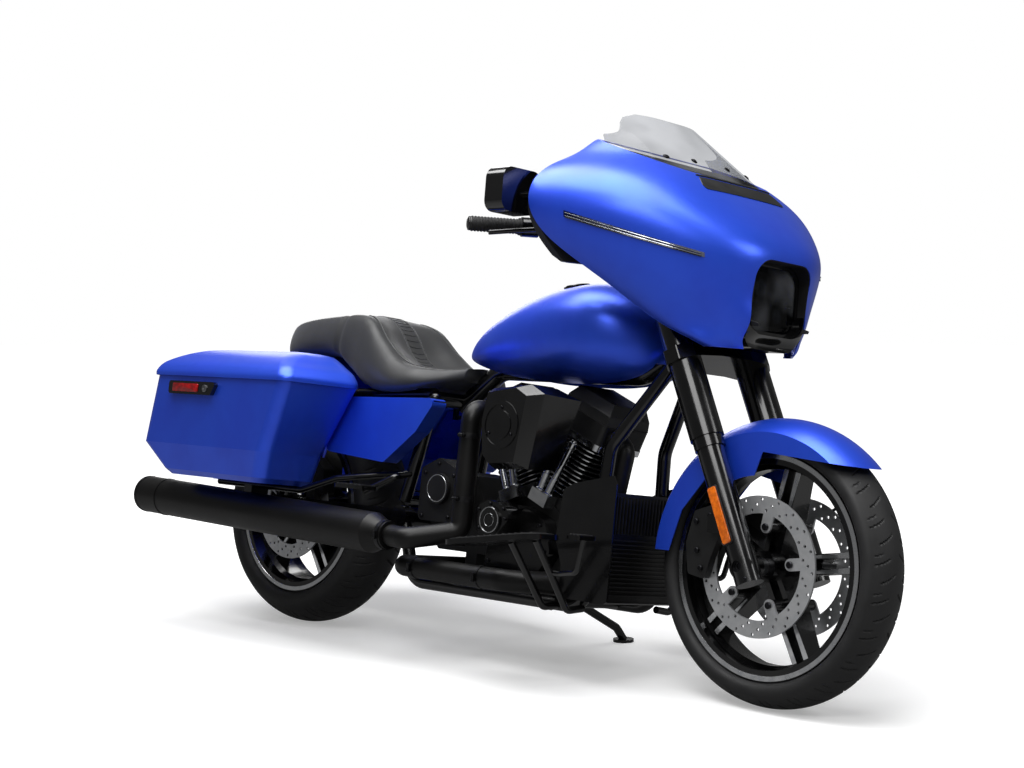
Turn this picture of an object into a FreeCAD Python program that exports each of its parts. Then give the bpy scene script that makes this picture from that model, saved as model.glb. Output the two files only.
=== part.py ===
"""Touring cruiser motorcycle: two wheels in line, air-cooled V-twin, fork-mounted fairing and hard saddlebags.

Everything is drawn on the upright machine, in millimetres: x forward from the rear axle, y to the rider's
left, z up from the ground. The finished pieces are then turned to the resting steering angle, leaned to the
left onto the side stand and moved so that the origin is on the ground under the middle of the machine.
"""

import FreeCAD
import Part

import math
import os

from FreeCAD import Matrix, Vector

# Chassis
WHEELBASE = 1625.0
RAKE_DEG = 26.0
TRAIL = 170.0
LEAN_DEG = 8.0
STEER_REST_DEG = -3.0
MIDDLE_X = 770.0
MIDDLE_Y = 136.5
SEAT_GAP = 0.3
PIN_CLEARANCE = 0.1

# Tyres and rims
FRONT_TYRE_R = 319.5
FRONT_TYRE_W = 130.0
FRONT_CROWN_R = 84.0
FRONT_LIP_R = 257.0
FRONT_RIM_W = 106.0
REAR_TYRE_R = 327.6
REAR_TYRE_W = 180.0
REAR_CROWN_R = 112.0
REAR_LIP_R = 242.0
REAR_PULLEY_R = 92.0
REAR_PULLEY_Y = 109.0
FRONT_PULLEY_R = 44.0
FRONT_PULLEY_X = 574.0
FRONT_PULLEY_Z = 339.0
BELT_W = 14.0
REAR_RIM_W = 152.0
LIP_THICK = 6.0
LIP_HEIGHT = 17.0
BARREL_WALL = 8.0
WELL_DEPTH = 10.0
SPOKES = 5
SPOKE_PHASE_DEG = 8.0
BLADE_THICK = 13.0
BLADE_SPREAD = 34.0
BLADE_DEPTH = 26.0
HUB_R = 36.0

# Brakes
FRONT_DISC_R = 160.0
REAR_DISC_R = 150.0
DISC_BAND = 40.0
DISC_THICK = 5.0
FRONT_DISC_Y = 78.0
REAR_DISC_Y = 92.0
DISC_LUG_R = 14.0
DISC_HOLE_R = 3.6
CALIPER_GAP = 6.0
CALIPER_HALF_DEPTH = 24.0

# Axles
AXLE_R = 12.5
FRONT_AXLE_HALF = 146.0
REAR_AXLE_HALF = 158.0
AXLE_END_BORE_R = 8.0
AXLE_END_BORE_DEPTH = 24.0
SPACER_R = 20.0

# Fork
FORK_SPREAD = 124.0
FORK_LEG_R = 32.0
FORK_LEG_LENGTH = 310.0
FORK_FOOT = 42.0
FORK_COVER_R = 40.0
FORK_COVER_TOP = 655.0
LOWER_CLAMP_S = 500.0
UPPER_CLAMP_S = 690.0
CLAMP_THICK = 34.0
STEM_R = 14.0
HEAD_TUBE_R = 33.0
BEARING_GAP = 0.6

# Front fender
FENDER_SHEET = 2.5
FENDER_TYRE_GAP = 20.0
FENDER_HALF_W = 86.0

# Fairing
FAIRING_WALL = 4.0
FAIRING_WIDEST_Z = 1100.0
FAIRING_LEVELS = (
    # height, nose x, nose half width, shoulder x, shoulder y, tip x, tip y
    (808.0, 1548.0, 96.0, 1520.0, 128.0, 1478.0, 150.0),
    (850.0, 1560.0, 104.0, 1502.0, 166.0, 1404.0, 205.0),
    (915.0, 1568.0, 108.0, 1494.0, 204.0, 1322.0, 266.0),
    (985.0, 1578.0, 104.0, 1488.0, 238.0, 1240.0, 338.0),
    (1050.0, 1574.0, 92.0, 1464.0, 272.0, 1172.0, 392.0),
    (1110.0, 1524.0, 92.0, 1430.0, 292.0, 1142.0, 414.0),
    (1165.0, 1462.0, 112.0, 1392.0, 286.0, 1136.0, 402.0),
    (1215.0, 1396.0, 136.0, 1334.0, 256.0, 1140.0, 348.0),
    (1262.0, 1322.0, 136.0, 1276.0, 212.0, 1146.0, 262.0),
    (1300.0, 1256.0, 124.0, 1230.0, 178.0, 1150.0, 206.0),
)
SCREEN_BASE_X = 1376.0
SCREEN_BASE_Z = 1222.0
SCREEN_SLOPE_DEG = 19.0
SCREEN_THICK = 3.0
SCREEN_TOP_Z = 1376.0
LAMP_Z = 930.0
LAMP_HALF_W = 98.0
LAMP_HALF_H = 84.0
LAMP_FACE_X = 1548.0
LAMP_DEPTH = 62.0
LAMP_GAP = 3.0
LAMP_RIM = 9.0
LAMP_RECESS = 26.0

# Controls
BAR_R = 12.7
GRIP_R = 17.0
GRIP_LENGTH = 128.0
GRIP_END = (955.0, 430.0, 1070.0)
GRIP_SWEEP_DEG = 30.0
BAR_CENTRE = (1310.0, 128.0, 1035.0)
RISER_HALF_SPAN = 42.0

# Engine
CRANK_X = 925.0
CRANK_Z = 300.0
V_HALF_DEG = 22.5
CASE_R = 128.0
PRIMARY_R = 107.0
PRIMARY_REAR_R = 78.0
PRIMARY_INNER_Y = 114.0
PRIMARY_OUTER_Y = 166.0
CASE_HALF_W = 88.0
DECK_S = 150.0
BARREL_LENGTH = 155.0
BARREL_R = 62.0
FIN_R = 82.0
FIN_THICK = 3.5
FIN_PITCH = 12.0
HEAD_LENGTH = 62.0
HEAD_HALF = 84.0
ROCKER_LENGTH = 52.0
GEARBOX_REAR_X = 560.0
GEARBOX_TOP_Z = 470.0
GEARBOX_BASE_Z = 262.0
CAM_COVER_X = 882.0
CAM_COVER_Z = 366.0
CAM_COVER_Y = 196.0

# Exhaust
MUFFLER_R = 52.0
MUFFLER_Y = 312.0
MUFFLER_TAIL_X = -392.0
MUFFLER_TAIL_Z = 320.0
MUFFLER_FRONT_X = 655.0
MUFFLER_FRONT_Z = 292.0
HEADER_R = 27.0
TAIL_DEPTH = 60.0
CROSSOVER_X = 640.0
LEFT_MUFFLER_FRONT_X = 572.0

# Frame
MAIN_TUBE_R = 26.0
SPINE_Z = 745.0
SPINE_FRONT_X = 1180.0
SHOCK_Y = 166.0
SHOCK_R = 24.0
CRADLE_TUBE_R = 17.0
CRADLE_HALF_W = 128.0
CRADLE_Z = 172.0
RAIL_HALF_W = 112.0
RAIL_REAR_HALF_W = 144.0
RAIL_Z = 666.7
PIVOT_X = 500.0
PIVOT_Z = 335.0

# Bodywork
TANK_STATIONS = (
    # x, half width, underside, top
    (628.0, 58.0, 752.0, 803.0),
    (690.0, 100.0, 738.0, 848.0),
    (790.0, 141.0, 722.0, 900.0),
    (900.0, 168.0, 713.0, 941.0),
    (1010.0, 185.0, 711.0, 964.0),
    (1120.0, 185.0, 716.0, 965.0),
    (1200.0, 150.0, 731.0, 940.0),
    (1255.0, 92.0, 756.0, 902.0),
    (1282.0, 48.0, 790.0, 866.0),
)
TANK_TUNNEL_HALF = 58.0
SEAT_STATIONS = (
    # x, half width, underside, middle of the top, top edge
    (-122.0, 44.0, 752.0, 802.0, 798.0),
    (-104.0, 78.0, 753.0, 828.0, 822.0),
    (-58.0, 112.0, 755.0, 856.0, 848.0),
    (28.0, 136.0, 760.0, 872.0, 862.0),
    (160.0, 152.0, 756.0, 882.0, 872.0),
    (250.0, 158.0, 704.0, 880.0, 876.0),
    (310.0, 168.0, 668.0, 842.0, 856.0),
    (375.0, 178.0, 654.0, 764.0, 800.0),
    (455.0, 184.0, 656.0, 728.0, 748.0),
    (530.0, 172.0, 668.0, 724.0, 734.0),
    (590.0, 122.0, 690.0, 732.0, 734.0),
    (626.0, 72.0, 706.0, 746.0, 742.0),
)
REAR_FENDER_X = -8.0
REAR_FENDER_Z = 392.0
REAR_FENDER_R = 388.0
REAR_FENDER_HALF_W = 126.0
BAG_INNER_Y = 214.0
BAG_OUTER_Y = 442.0
BAG_WALL = 4.0
BAG_RAIL_R = 9.0
BAG_FLOOR_Z = 388.0
BAG_SEAM_Z = 660.0
BAG_LID_GAP = 0.6
BAG_LID_TOP_Z = 748.0
SIDE_COVER_Y = 208.0
SIDE_COVER_THICK = 5.0
PLATE_Z = 478.0
PLATE_HOLE_PITCH = 146.0
PLATE_HOLE_R = 3.5

# Radiator
COWL_REAR_X = 1086.0
COWL_FRONT_X = 1264.0
COWL_HALF_W = 168.0
COWL_TOP_Z = 492.0
COWL_WALL = 4.0

# Footboards and side stand
BOARD_REAR_X = 930.0
BOARD_LENGTH = 300.0
BOARD_INNER_Y = 292.0
BOARD_WIDTH = 112.0
BOARD_Z = 290.0
BOARD_THICK = 12.0
BOARD_TILT_DEG = 8.0
STAND_PIVOT = (812.0, 173.0, 176.0)
STAND_FOOT = (60.0, 190.0)
STAND_AXIS = (0.03, 0.755, 0.63)
STAND_BOSS_R = 19.0
STAND_BOSS_HALF = 14.0
STAND_TUBE_R = 11.0
STAND_PAD_R = 28.0
STAND_PAD_THICK = 8.0

Y_AXIS = Vector(0, 1, 0)
ORIGIN = Vector(0, 0, 0)
FRONT_AXLE = Vector(WHEELBASE, 0, FRONT_TYRE_R)
REAR_AXLE = Vector(0, 0, REAR_TYRE_R)
STEER_FOOT = Vector(WHEELBASE + TRAIL, 0, 0)
COWL_BASE_Z = CRADLE_Z + CRADLE_TUBE_R + SEAT_GAP
STEER_DIR = Vector(-math.sin(math.radians(RAKE_DEG)), 0, math.cos(math.radians(RAKE_DEG)))


def block(x0, x1, y0, y1, z0, z1):
    """A box between two corners."""
    return Part.makeBox(x1 - x0, y1 - y0, z1 - z0, Vector(x0, y0, z0))


def rod(start, end, radius):
    """A round bar between two points."""
    along = end - start
    return Part.makeCylinder(radius, along.Length, start, along)


def across(x, z, y0, y1, radius):
    """A round bar along y."""
    return rod(Vector(x, y0, z), Vector(x, y1, z), radius)


def mirrored(shape):
    """The same piece on the other side of the machine."""
    return shape.mirror(ORIGIN, Y_AXIS)


def both(shape):
    """A piece and its mirror image, as separate solids."""
    return Part.makeCompound([shape, mirrored(shape)])


def joined(shapes):
    """One body from touching shapes."""
    first, *rest = shapes
    return first.fuse(rest).removeSplitter()


def side_prism(outline, y0, y1):
    """A straight-edged outline of (x, z) points, extruded along y."""
    points = [Vector(x, y0, z) for x, z in outline]
    face = Part.Face(Part.makePolygon(points + points[:1]))
    return face.extrude(Vector(0, y1 - y0, 0))


def plan_prism(outline, z0, z1):
    """A straight-edged outline of (x, y) points, extruded upwards."""
    points = [Vector(x, y, z0) for x, y in outline]
    face = Part.Face(Part.makePolygon(points + points[:1]))
    return face.extrude(Vector(0, 0, z1 - z0))


def front_prism(outline, x0, x1):
    """A straight-edged outline of (y, z) points, extruded along x."""
    points = [Vector(x0, y, z) for y, z in outline]
    face = Part.Face(Part.makePolygon(points + points[:1]))
    return face.extrude(Vector(x1 - x0, 0, 0))


def edges_along(shape, direction):
    """The straight edges that run along a direction."""
    found = []
    for edge in shape.Edges:
        if edge.Curve.TypeId == "Part::GeomLine" and edge.Curve.Direction.cross(direction).Length < 1e-6:
            found.append(edge)
    return found


def soft_prism(prism, direction, radius):
    """A prism with the edges along its direction rounded."""
    return prism.makeFillet(radius, edges_along(prism, direction))


def routed_wire(points, bend):
    """Straight runs through points, joined by tangent arcs of one bend radius."""
    edges = []
    last = points[0]
    for before, corner, after in zip(points, points[1:], points[2:]):
        to_before = (before - corner).normalize()
        to_after = (after - corner).normalize()
        half = to_before.getAngle(to_after) / 2
        reach = bend / math.tan(half)
        start = corner + to_before * reach
        end = corner + to_after * reach
        middle_dir = (to_before + to_after).normalize()
        middle = corner + middle_dir * (bend / math.sin(half) - bend)
        edges.append(Part.LineSegment(last, start).toShape())
        edges.append(Part.Arc(start, middle, end).toShape())
        last = end
    edges.append(Part.LineSegment(last, points[-1]).toShape())
    return Part.Wire(edges)


def bent_tube(points, radius, bend):
    """A solid round tube that follows a route."""
    points = [Vector(*p) for p in points]
    route = routed_wire(points, bend)
    section = Part.Wire(Part.Circle(points[0], points[1] - points[0], radius).toShape())
    return route.makePipeShell([section], True, True)


def spun(profile, centre, turn_deg=360.0, start_deg=0.0):
    """A closed (y, radius) profile turned about an axle along y; it starts straight up."""
    edges = []
    for piece in profile:
        pts = [centre + Vector(0, y, r) for y, r in piece]
        if len(pts) == 2:
            edges.append(Part.LineSegment(*pts).toShape())
        else:
            edges.append(Part.Arc(*pts).toShape())
    face = Part.Face(Part.Wire(edges))
    face.rotate(centre, Y_AXIS, start_deg)
    return face.revolve(centre, Y_AXIS, turn_deg)


def turned_copies(shape, centre, count, phase_deg=0.0):
    """Copies of a shape spaced evenly round an axle along y."""
    copies = []
    for k in range(count):
        copy = shape.copy()
        copy.rotate(centre, Y_AXIS, -(phase_deg + k * 360.0 / count))
        copies.append(copy)
    return copies


# Wheels


def rim_seat(lip_r):
    """Radius on which the tyre's beads sit."""
    return lip_r - LIP_HEIGHT


def crown_drop(crown_r, y):
    """How far the tread falls away at a distance from its middle."""
    return crown_r - math.sqrt(crown_r**2 - y**2)


def tyre(centre, tyre_r, tyre_w, crown_r, lip_r, rim_w):
    """A round-crowned tyre, seated between the rim's lips."""
    bead = rim_w / 2 - LIP_THICK - SEAT_GAP
    seat = rim_seat(lip_r) + SEAT_GAP
    shoulder = 0.44 * tyre_w
    shoulder_r = tyre_r - crown_drop(crown_r, shoulder)
    wall_r = lip_r + 0.35 * (shoulder_r - lip_r)
    neck_r = lip_r + 2.0
    profile = [
        ((-bead, seat), (bead, seat)),
        ((bead, seat), (bead, neck_r)),
        ((bead, neck_r), (tyre_w / 2, wall_r), (shoulder, shoulder_r)),
        ((shoulder, shoulder_r), (0, tyre_r), (-shoulder, shoulder_r)),
        ((-shoulder, shoulder_r), (-tyre_w / 2, wall_r), (-bead, neck_r)),
        ((-bead, neck_r), (-bead, seat)),
    ]
    return spun(profile, centre)


def rim_barrel(centre, lip_r, rim_w):
    """The rolled rim with its two lips and a dropped well."""
    half = rim_w / 2
    seat = rim_seat(lip_r)
    inside = seat - BARREL_WALL
    well = seat - WELL_DEPTH
    ledge = 0.52 * half
    corners = [
        (half, lip_r),
        (half - LIP_THICK, lip_r),
        (half - LIP_THICK, seat),
        (ledge, seat),
        (ledge - WELL_DEPTH, well),
        (-ledge + WELL_DEPTH, well),
        (-ledge, seat),
        (-half + LIP_THICK, seat),
        (-half + LIP_THICK, lip_r),
        (-half, lip_r),
        (-half, inside),
        (-ledge - 2, inside),
        (-ledge + WELL_DEPTH, well - BARREL_WALL),
        (ledge - WELL_DEPTH, well - BARREL_WALL),
        (ledge + 2, inside),
        (half, inside),
    ]
    return spun(list(zip(corners, corners[1:] + corners[:1])), centre)


def spoke_blades(centre, lip_r, hub_half):
    """One pair of blades, pointing forward from the hub to the barrel."""
    foot = HUB_R - 6
    tip = rim_seat(lip_r) - WELL_DEPTH - BARREL_WALL / 2
    blades = []
    for side in (-1, 1):
        plan = [
            (centre.x + foot, -hub_half),
            (centre.x + tip, -BLADE_DEPTH),
            (centre.x + tip, BLADE_DEPTH),
            (centre.x + foot, hub_half),
        ]
        blade = plan_prism(plan, centre.z - BLADE_THICK / 2, centre.z + BLADE_THICK / 2)
        blade.translate(Vector(0, 0, side * BLADE_SPREAD / 2))
        blades.append(blade)
    return blades


def disc_boss(centre, disc_r, face_y, inner_y):
    """The post on the wheel that carries one of the disc's lugs."""
    x = centre.x + disc_r - DISC_BAND - 2 * DISC_LUG_R
    return across(x, centre.z, inner_y, face_y, DISC_LUG_R - 1)


def wheel_casting(centre, lip_r, rim_w, hub_half, disc_faces):
    """Rim, five pairs of blades, hub and the disc's posts in one casting."""
    parts = [rim_barrel(centre, lip_r, rim_w)]
    parts.append(across(centre.x, centre.z, -hub_half, hub_half, HUB_R))
    for blade in spoke_blades(centre, lip_r, hub_half * 0.62):
        parts += turned_copies(blade, centre, SPOKES, SPOKE_PHASE_DEG)
    for disc_r, face_y, inner_y in disc_faces:
        post = disc_boss(centre, disc_r, face_y, inner_y)
        parts += turned_copies(post, centre, SPOKES, SPOKE_PHASE_DEG)
    casting = joined(parts)
    bore = across(centre.x, centre.z, -hub_half - 1, hub_half + 1, AXLE_R + PIN_CLEARANCE)
    return casting.cut(bore)


def brake_disc(centre, disc_r, y):
    """A drilled disc with lugs that reach in to the wheel's posts."""
    y0, y1 = y - DISC_THICK / 2, y + DISC_THICK / 2
    band = across(centre.x, centre.z, y0, y1, disc_r)
    band = band.cut(across(centre.x, centre.z, y0 - 1, y1 + 1, disc_r - DISC_BAND))
    lug_x = centre.x + disc_r - DISC_BAND - 2 * DISC_LUG_R
    root_x = centre.x + disc_r - DISC_BAND + 4
    neck = block(lug_x, root_x, y0, y1, centre.z - DISC_LUG_R, centre.z + DISC_LUG_R)
    lug = neck.fuse(across(lug_x, centre.z, y0, y1, DISC_LUG_R)).removeSplitter()
    disc = joined([band] + turned_copies(lug, centre, SPOKES, SPOKE_PHASE_DEG))
    holes = []
    for row, per_turn, phase in ((0.2, 20, 0.0), (0.5, 20, 6.0), (0.8, 20, 12.0)):
        hole_x = centre.x + disc_r - DISC_BAND * row
        hole = across(hole_x, centre.z, y0 - 1, y1 + 1, DISC_HOLE_R)
        holes += turned_copies(hole, centre, per_turn, phase)
    return disc.cut(Part.makeCompound(holes))


def caliper(centre, disc_r, disc_y, outline, half_depth):
    """A brake caliper that straddles the disc; its outline is a closed list of (x, z)."""
    body = side_prism(outline, disc_y - half_depth, disc_y + half_depth)
    body = soft_prism(body, Y_AXIS, 9.0)
    slot_half = DISC_THICK / 2 + 1.5
    slot = across(centre.x, centre.z, disc_y - slot_half, disc_y + slot_half, disc_r + CALIPER_GAP)
    return body.cut(slot)


# Front end


def fork_point(side, s, ahead=0.0):
    """A point on a fork leg's axis, at a distance s above the axle."""
    forward = Vector(math.cos(math.radians(RAKE_DEG)), 0, math.sin(math.radians(RAKE_DEG)))
    return FRONT_AXLE + Vector(0, side * FORK_SPREAD, 0) + STEER_DIR * s + forward * ahead


def steer_point(z):
    """The point of the steering axis at a height."""
    return STEER_FOOT + STEER_DIR * (z / STEER_DIR.z)


def fork_legs():
    """Cast lower legs with the axle's clamps, the caliper's ears and the fender's bosses."""
    leg = rod(fork_point(1, -FORK_FOOT), fork_point(1, FORK_LEG_LENGTH), FORK_LEG_R)
    collar = rod(fork_point(1, FORK_LEG_LENGTH - 26), fork_point(1, FORK_LEG_LENGTH), FORK_LEG_R + 4)
    y0, y1 = FORK_SPREAD - FORK_LEG_R, FORK_SPREAD + FORK_LEG_R * 0.6
    clamp = across(WHEELBASE, FRONT_TYRE_R, y0, y1, 30.0)
    ear_y = FRONT_DISC_Y + CALIPER_HALF_DEPTH + SEAT_GAP
    ear = block(WHEELBASE - 122, WHEELBASE - 50, ear_y, ear_y + 16, FRONT_TYRE_R + 66, FRONT_TYRE_R + 106)
    stay = fork_point(0, 252.0)
    boss = across(stay.x, stay.z, FENDER_HALF_W + SEAT_GAP, FORK_SPREAD, 11.0)
    leg = joined([leg, collar, clamp, ear, boss])
    bore = across(WHEELBASE, FRONT_TYRE_R, y0 - 5, FORK_SPREAD + 80, AXLE_R + PIN_CLEARANCE)
    return both(leg.cut(bore))


def on_fork(shape):
    """Puts a shape drawn with z along the fork and its origin at the front axle in place."""
    shape.rotate(ORIGIN, Y_AXIS, -RAKE_DEG)
    shape.translate(FRONT_AXLE)
    return shape


def riser_feet():
    """Where the bar's two risers stand, and the middle of the bar above them."""
    top = Vector(BAR_CENTRE[0], RISER_HALF_SPAN, BAR_CENTRE[2])
    foot = on_steering_axis(UPPER_CLAMP_S + 10)
    return Vector(foot.x, RISER_HALF_SPAN, foot.z), top


def fork_clamps():
    """Upper covers, both triple clamps, the steering stem and the bar's risers."""
    parts = []
    for side in (-1, 1):
        start = fork_point(side, FORK_LEG_LENGTH + SEAT_GAP)
        parts.append(rod(start, fork_point(side, FORK_COVER_TOP), FORK_COVER_R))
        parts.append(rod(fork_point(side, FORK_COVER_TOP - 2), fork_point(side, UPPER_CLAMP_S + 4), FORK_LEG_R * 0.8))
    wide = FORK_SPREAD + FORK_COVER_R
    plan = [
        (-46, -FORK_SPREAD - 12), (-20, -wide - 6), (20, -wide - 6), (46, -FORK_SPREAD - 12), (58, -58), (58, 58),
        (46, FORK_SPREAD + 12), (20, wide + 6), (-20, wide + 6), (-46, FORK_SPREAD + 12), (-36, 58), (-36, -58),
    ]
    for s in (LOWER_CLAMP_S, UPPER_CLAMP_S):
        parts.append(on_fork(soft_prism(plan_prism(plan, s, s + CLAMP_THICK), Vector(0, 0, 1), 9.0)))
    parts.append(rod(on_steering_axis(LOWER_CLAMP_S), on_steering_axis(UPPER_CLAMP_S + CLAMP_THICK), STEM_R))
    foot, top = riser_feet()
    for side in (-1, 1):
        flip = Vector(0, 2 * RISER_HALF_SPAN * (side < 0), 0)
        parts.append(rod(foot - flip, top - flip + Vector(0, 0, 4), 17.0))
    return joined(parts).cut(bar_tube(PIN_CLEARANCE))


def fairing_bracket():
    """The plates and bar that carry the fairing and the lamp in front of the fork."""
    clamp = fork_point(0, UPPER_CLAMP_S, 58 + SEAT_GAP)
    parts = []
    for y in (-46, 46):
        parts.append(block(clamp.x - 24, LAMP_FACE_X - LAMP_DEPTH - SEAT_GAP, y - 3, y + 3, LAMP_Z - 10, LAMP_Z + 56))
    parts.append(block(1430, 1452, -500, 500, LAMP_Z + 30, LAMP_Z + 46))
    bracket = joined(parts)
    bracket = bracket.cut(on_fork(block(-100, 58 + SEAT_GAP, -300, 300, 600, 900)))
    return bracket.common(fairing_bulk(-FAIRING_WALL - 2 * SEAT_GAP, 60.0, FAIRING_WALL + 2 * SEAT_GAP))


def on_steering_axis(s):
    """The point of the steering axis level with a distance s up the fork legs."""
    return STEER_FOOT + STEER_DIR * (s + (FRONT_AXLE - STEER_FOOT).dot(STEER_DIR))


def head_tube():
    """The frame's tube round the steering stem, between the clamps."""
    low = on_steering_axis(LOWER_CLAMP_S + CLAMP_THICK + BEARING_GAP)
    return rod(low, on_steering_axis(UPPER_CLAMP_S - BEARING_GAP), HEAD_TUBE_R)


def front_axle():
    """The axle, its end bores and the spacers between hub and legs."""
    hub_half = FRONT_DISC_Y - 16
    leg_face = FORK_SPREAD - FORK_LEG_R
    shaft = across(WHEELBASE, FRONT_TYRE_R, -FRONT_AXLE_HALF, FRONT_AXLE_HALF, AXLE_R)
    sleeves = []
    for side in (-1, 1):
        y0 = side * (hub_half + SEAT_GAP)
        y1 = side * (leg_face - SEAT_GAP)
        sleeves.append(across(WHEELBASE, FRONT_TYRE_R, min(y0, y1), max(y0, y1), SPACER_R))
    axle = joined([shaft] + sleeves)
    for side in (-1, 1):
        mouth = side * (FRONT_AXLE_HALF + 1)
        deep = side * (FRONT_AXLE_HALF - AXLE_END_BORE_DEPTH)
        axle = axle.cut(across(WHEELBASE, FRONT_TYRE_R, min(mouth, deep), max(mouth, deep), AXLE_END_BORE_R))
    return axle


def front_calipers():
    """Four-piston calipers behind the fork legs."""
    outline = [
        (WHEELBASE - 176, FRONT_TYRE_R + 112),
        (WHEELBASE - 110, FRONT_TYRE_R + 134),
        (WHEELBASE - 80, FRONT_TYRE_R + 106),
        (WHEELBASE - 120, FRONT_TYRE_R + 8),
        (WHEELBASE - 134, FRONT_TYRE_R - 42),
        (WHEELBASE - 184, FRONT_TYRE_R - 34),
        (WHEELBASE - 196, FRONT_TYRE_R + 36),
    ]
    return both(caliper(FRONT_AXLE, FRONT_DISC_R, FRONT_DISC_Y, outline, CALIPER_HALF_DEPTH))


def fender_shell(centre, radius, half_w, skirt, sheet, start_deg, turn_deg):
    """A rounded arch of sheet, turned about an axle."""

    def arch(r, w, skirt_r):
        rise = 0.42 * w
        profile = [
            ((-w, skirt_r), (w, skirt_r)),
            ((w, skirt_r), (w, r - rise)),
            ((w, r - rise), (0, r), (-w, r - rise)),
            ((-w, r - rise), (-w, skirt_r)),
        ]
        return profile

    outer = spun(arch(radius, half_w, skirt), centre, turn_deg, start_deg)
    if not sheet:
        return outer
    inner = spun(arch(radius - sheet, half_w - sheet, skirt - 20), centre, turn_deg + 20, start_deg - 10)
    return outer.cut(inner)


def front_fender():
    """The blue front fender: a long arch with shallow skirts, cut along its lower edge."""
    radius = FRONT_TYRE_R + FENDER_TYRE_GAP
    shell = fender_shell(FRONT_AXLE, radius, FENDER_HALF_W, 205.0, FENDER_SHEET, -92.0, 152.0)
    x, z = FRONT_AXLE.x, FRONT_AXLE.z
    keep = [
        (x - 400, z + 12),
        (x - 262, z + 12),
        (x - 230, z + 110),
        (x - 150, z + 205),
        (x - 60, z + 186),
        (x - 28, z + 190),
        (x - 4, z + 258),
        (x + 262, z + 236),
        (x + 420, z + 236),
        (x + 420, z + 420),
        (x - 400, z + 420),
    ]
    return shell.common(side_prism(keep, -200, 200))


# Fairing


def fairing_section(level, grow, tail):
    """One horizontal section: a smooth nose from tip to tip, run straight back by the tail and closed."""
    z, nose_x, nose_w, shoulder_x, shoulder_y, tip_x, tip_y = level
    half = [
        Vector(tip_x, tip_y + grow, z),
        Vector((tip_x + shoulder_x) / 2 + grow * 0.4, 0.35 * shoulder_y + 0.65 * tip_y + 10 + grow, z),
        Vector(shoulder_x + grow * 0.7, shoulder_y + grow * 0.7, z),
        Vector(nose_x + grow, nose_w, z),
    ]
    points = half + [Vector(nose_x + grow + 6, 0, z)] + [Vector(p.x, -p.y, z) for p in half[::-1]]
    curve = Part.BSplineCurve()
    curve.interpolate(points)
    run = Vector(-tail, 0, 0)
    back = Part.makePolygon([points[-1], points[-1] + run, points[0] + run, points[0]])
    return Part.Wire([curve.toShape()] + back.Edges)


def fairing_bulk(grow=0.0, tail=1.0, drop=0.0):
    """The fairing's whole outer form as a solid, grown or shrunk by a wall."""
    wires = []
    for level in FAIRING_LEVELS:
        wire = fairing_section(level, grow, tail)
        wire.translate(Vector(0, 0, -drop * min(1.0, max(0.0, (level[0] - FAIRING_WIDEST_Z) / 120))))
        wires.append(wire)
    return Part.makeLoft(wires, True, False)


def above_screen_line(lift=0.0):
    """The space above the sloping line on which the windscreen stands."""
    space = Part.makeBox(900, 1200, 400)
    space.translate(Vector(-850, -600, 0))
    space.rotate(ORIGIN, Y_AXIS, SCREEN_SLOPE_DEG)
    space.translate(Vector(SCREEN_BASE_X, 0, SCREEN_BASE_Z + lift))
    return space


def lamp_prism(grow, x0, x1, base_z):
    """The headlamp's rounded outline, open down to a height, extruded along x."""
    half_w, top = LAMP_HALF_W + grow, LAMP_Z + LAMP_HALF_H + grow
    outline = [(-half_w, base_z), (half_w, base_z), (half_w, top), (-half_w, top)]
    return soft_prism(front_prism(outline, x0, x1), Vector(1, 0, 0), 44.0)


def vent_prism(grow):
    """The air slot below the windscreen."""
    outline = [(-152 - grow, 1174 - grow), (152 + grow, 1174 - grow), (132 + grow, 1206 + grow), (-132 - grow, 1206 + grow)]
    return soft_prism(front_prism(outline, 1330, 1560), Vector(1, 0, 0), 8.0)


def fairing_shell():
    """The painted outer fairing, hollow and open behind."""
    shell = fairing_bulk().cut(fairing_bulk(-FAIRING_WALL, 60.0, FAIRING_WALL))
    shell = shell.cut(above_screen_line())
    shell = shell.cut(lamp_prism(LAMP_GAP, 1480, 1640, LAMP_Z - 140))
    return shell.cut(vent_prism(SEAT_GAP))


def fairing_vent():
    """The black insert in the air slot."""
    insert = fairing_bulk(2.0).cut(fairing_bulk(-FAIRING_WALL - 4, 60.0, FAIRING_WALL))
    return insert.common(vent_prism(0.0))


def inner_fairing():
    """The black panel that faces the rider, with a shelf under the windscreen."""
    room = fairing_bulk(-FAIRING_WALL - 2 * SEAT_GAP, 60.0, FAIRING_WALL + 2 * SEAT_GAP)
    room = room.cut(above_screen_line(-SEAT_GAP))
    plan = [
        (1128, -420), (1150, -420), (1206, -300), (1262, -210), (1262, 210), (1206, 300), (1150, 420),
        (1128, 420), (1186, 300), (1246, 200), (1246, -200), (1186, -300),
    ]
    panel = room.common(plan_prism(plan, 985, 1300))
    panel = panel.cut(block(1100, 1300, -232, 232, 900, BAR_CENTRE[2] + 52))
    shelf = room.common(block(1246, 1500, -400, 400, 900, 1400)).cut(room_below_shelf())
    dash = [panel, shelf, block(1234, 1250, -66, 66, 1104, 1186)]
    for y, z, radius in ((-118, 1164, 44.0), (118, 1164, 44.0), (-178, 1114, 21.0), (178, 1114, 21.0)):
        bezel = rod(Vector(1232, y, z), Vector(1250, y, z), radius)
        dash.append(bezel.cut(rod(Vector(1231, y, z), Vector(1240, y, z), radius - 4)))
    for side in (-1, 1):
        low, high = Vector(1146, side * 306, 1070), Vector(1200, side * 334, 1070)
        cup = rod(low, high, 58.0)
        dash.append(cup.cut(rod(low, low + (high - low) * 0.3, 50.0)).common(room))
    return joined(dash)


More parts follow.
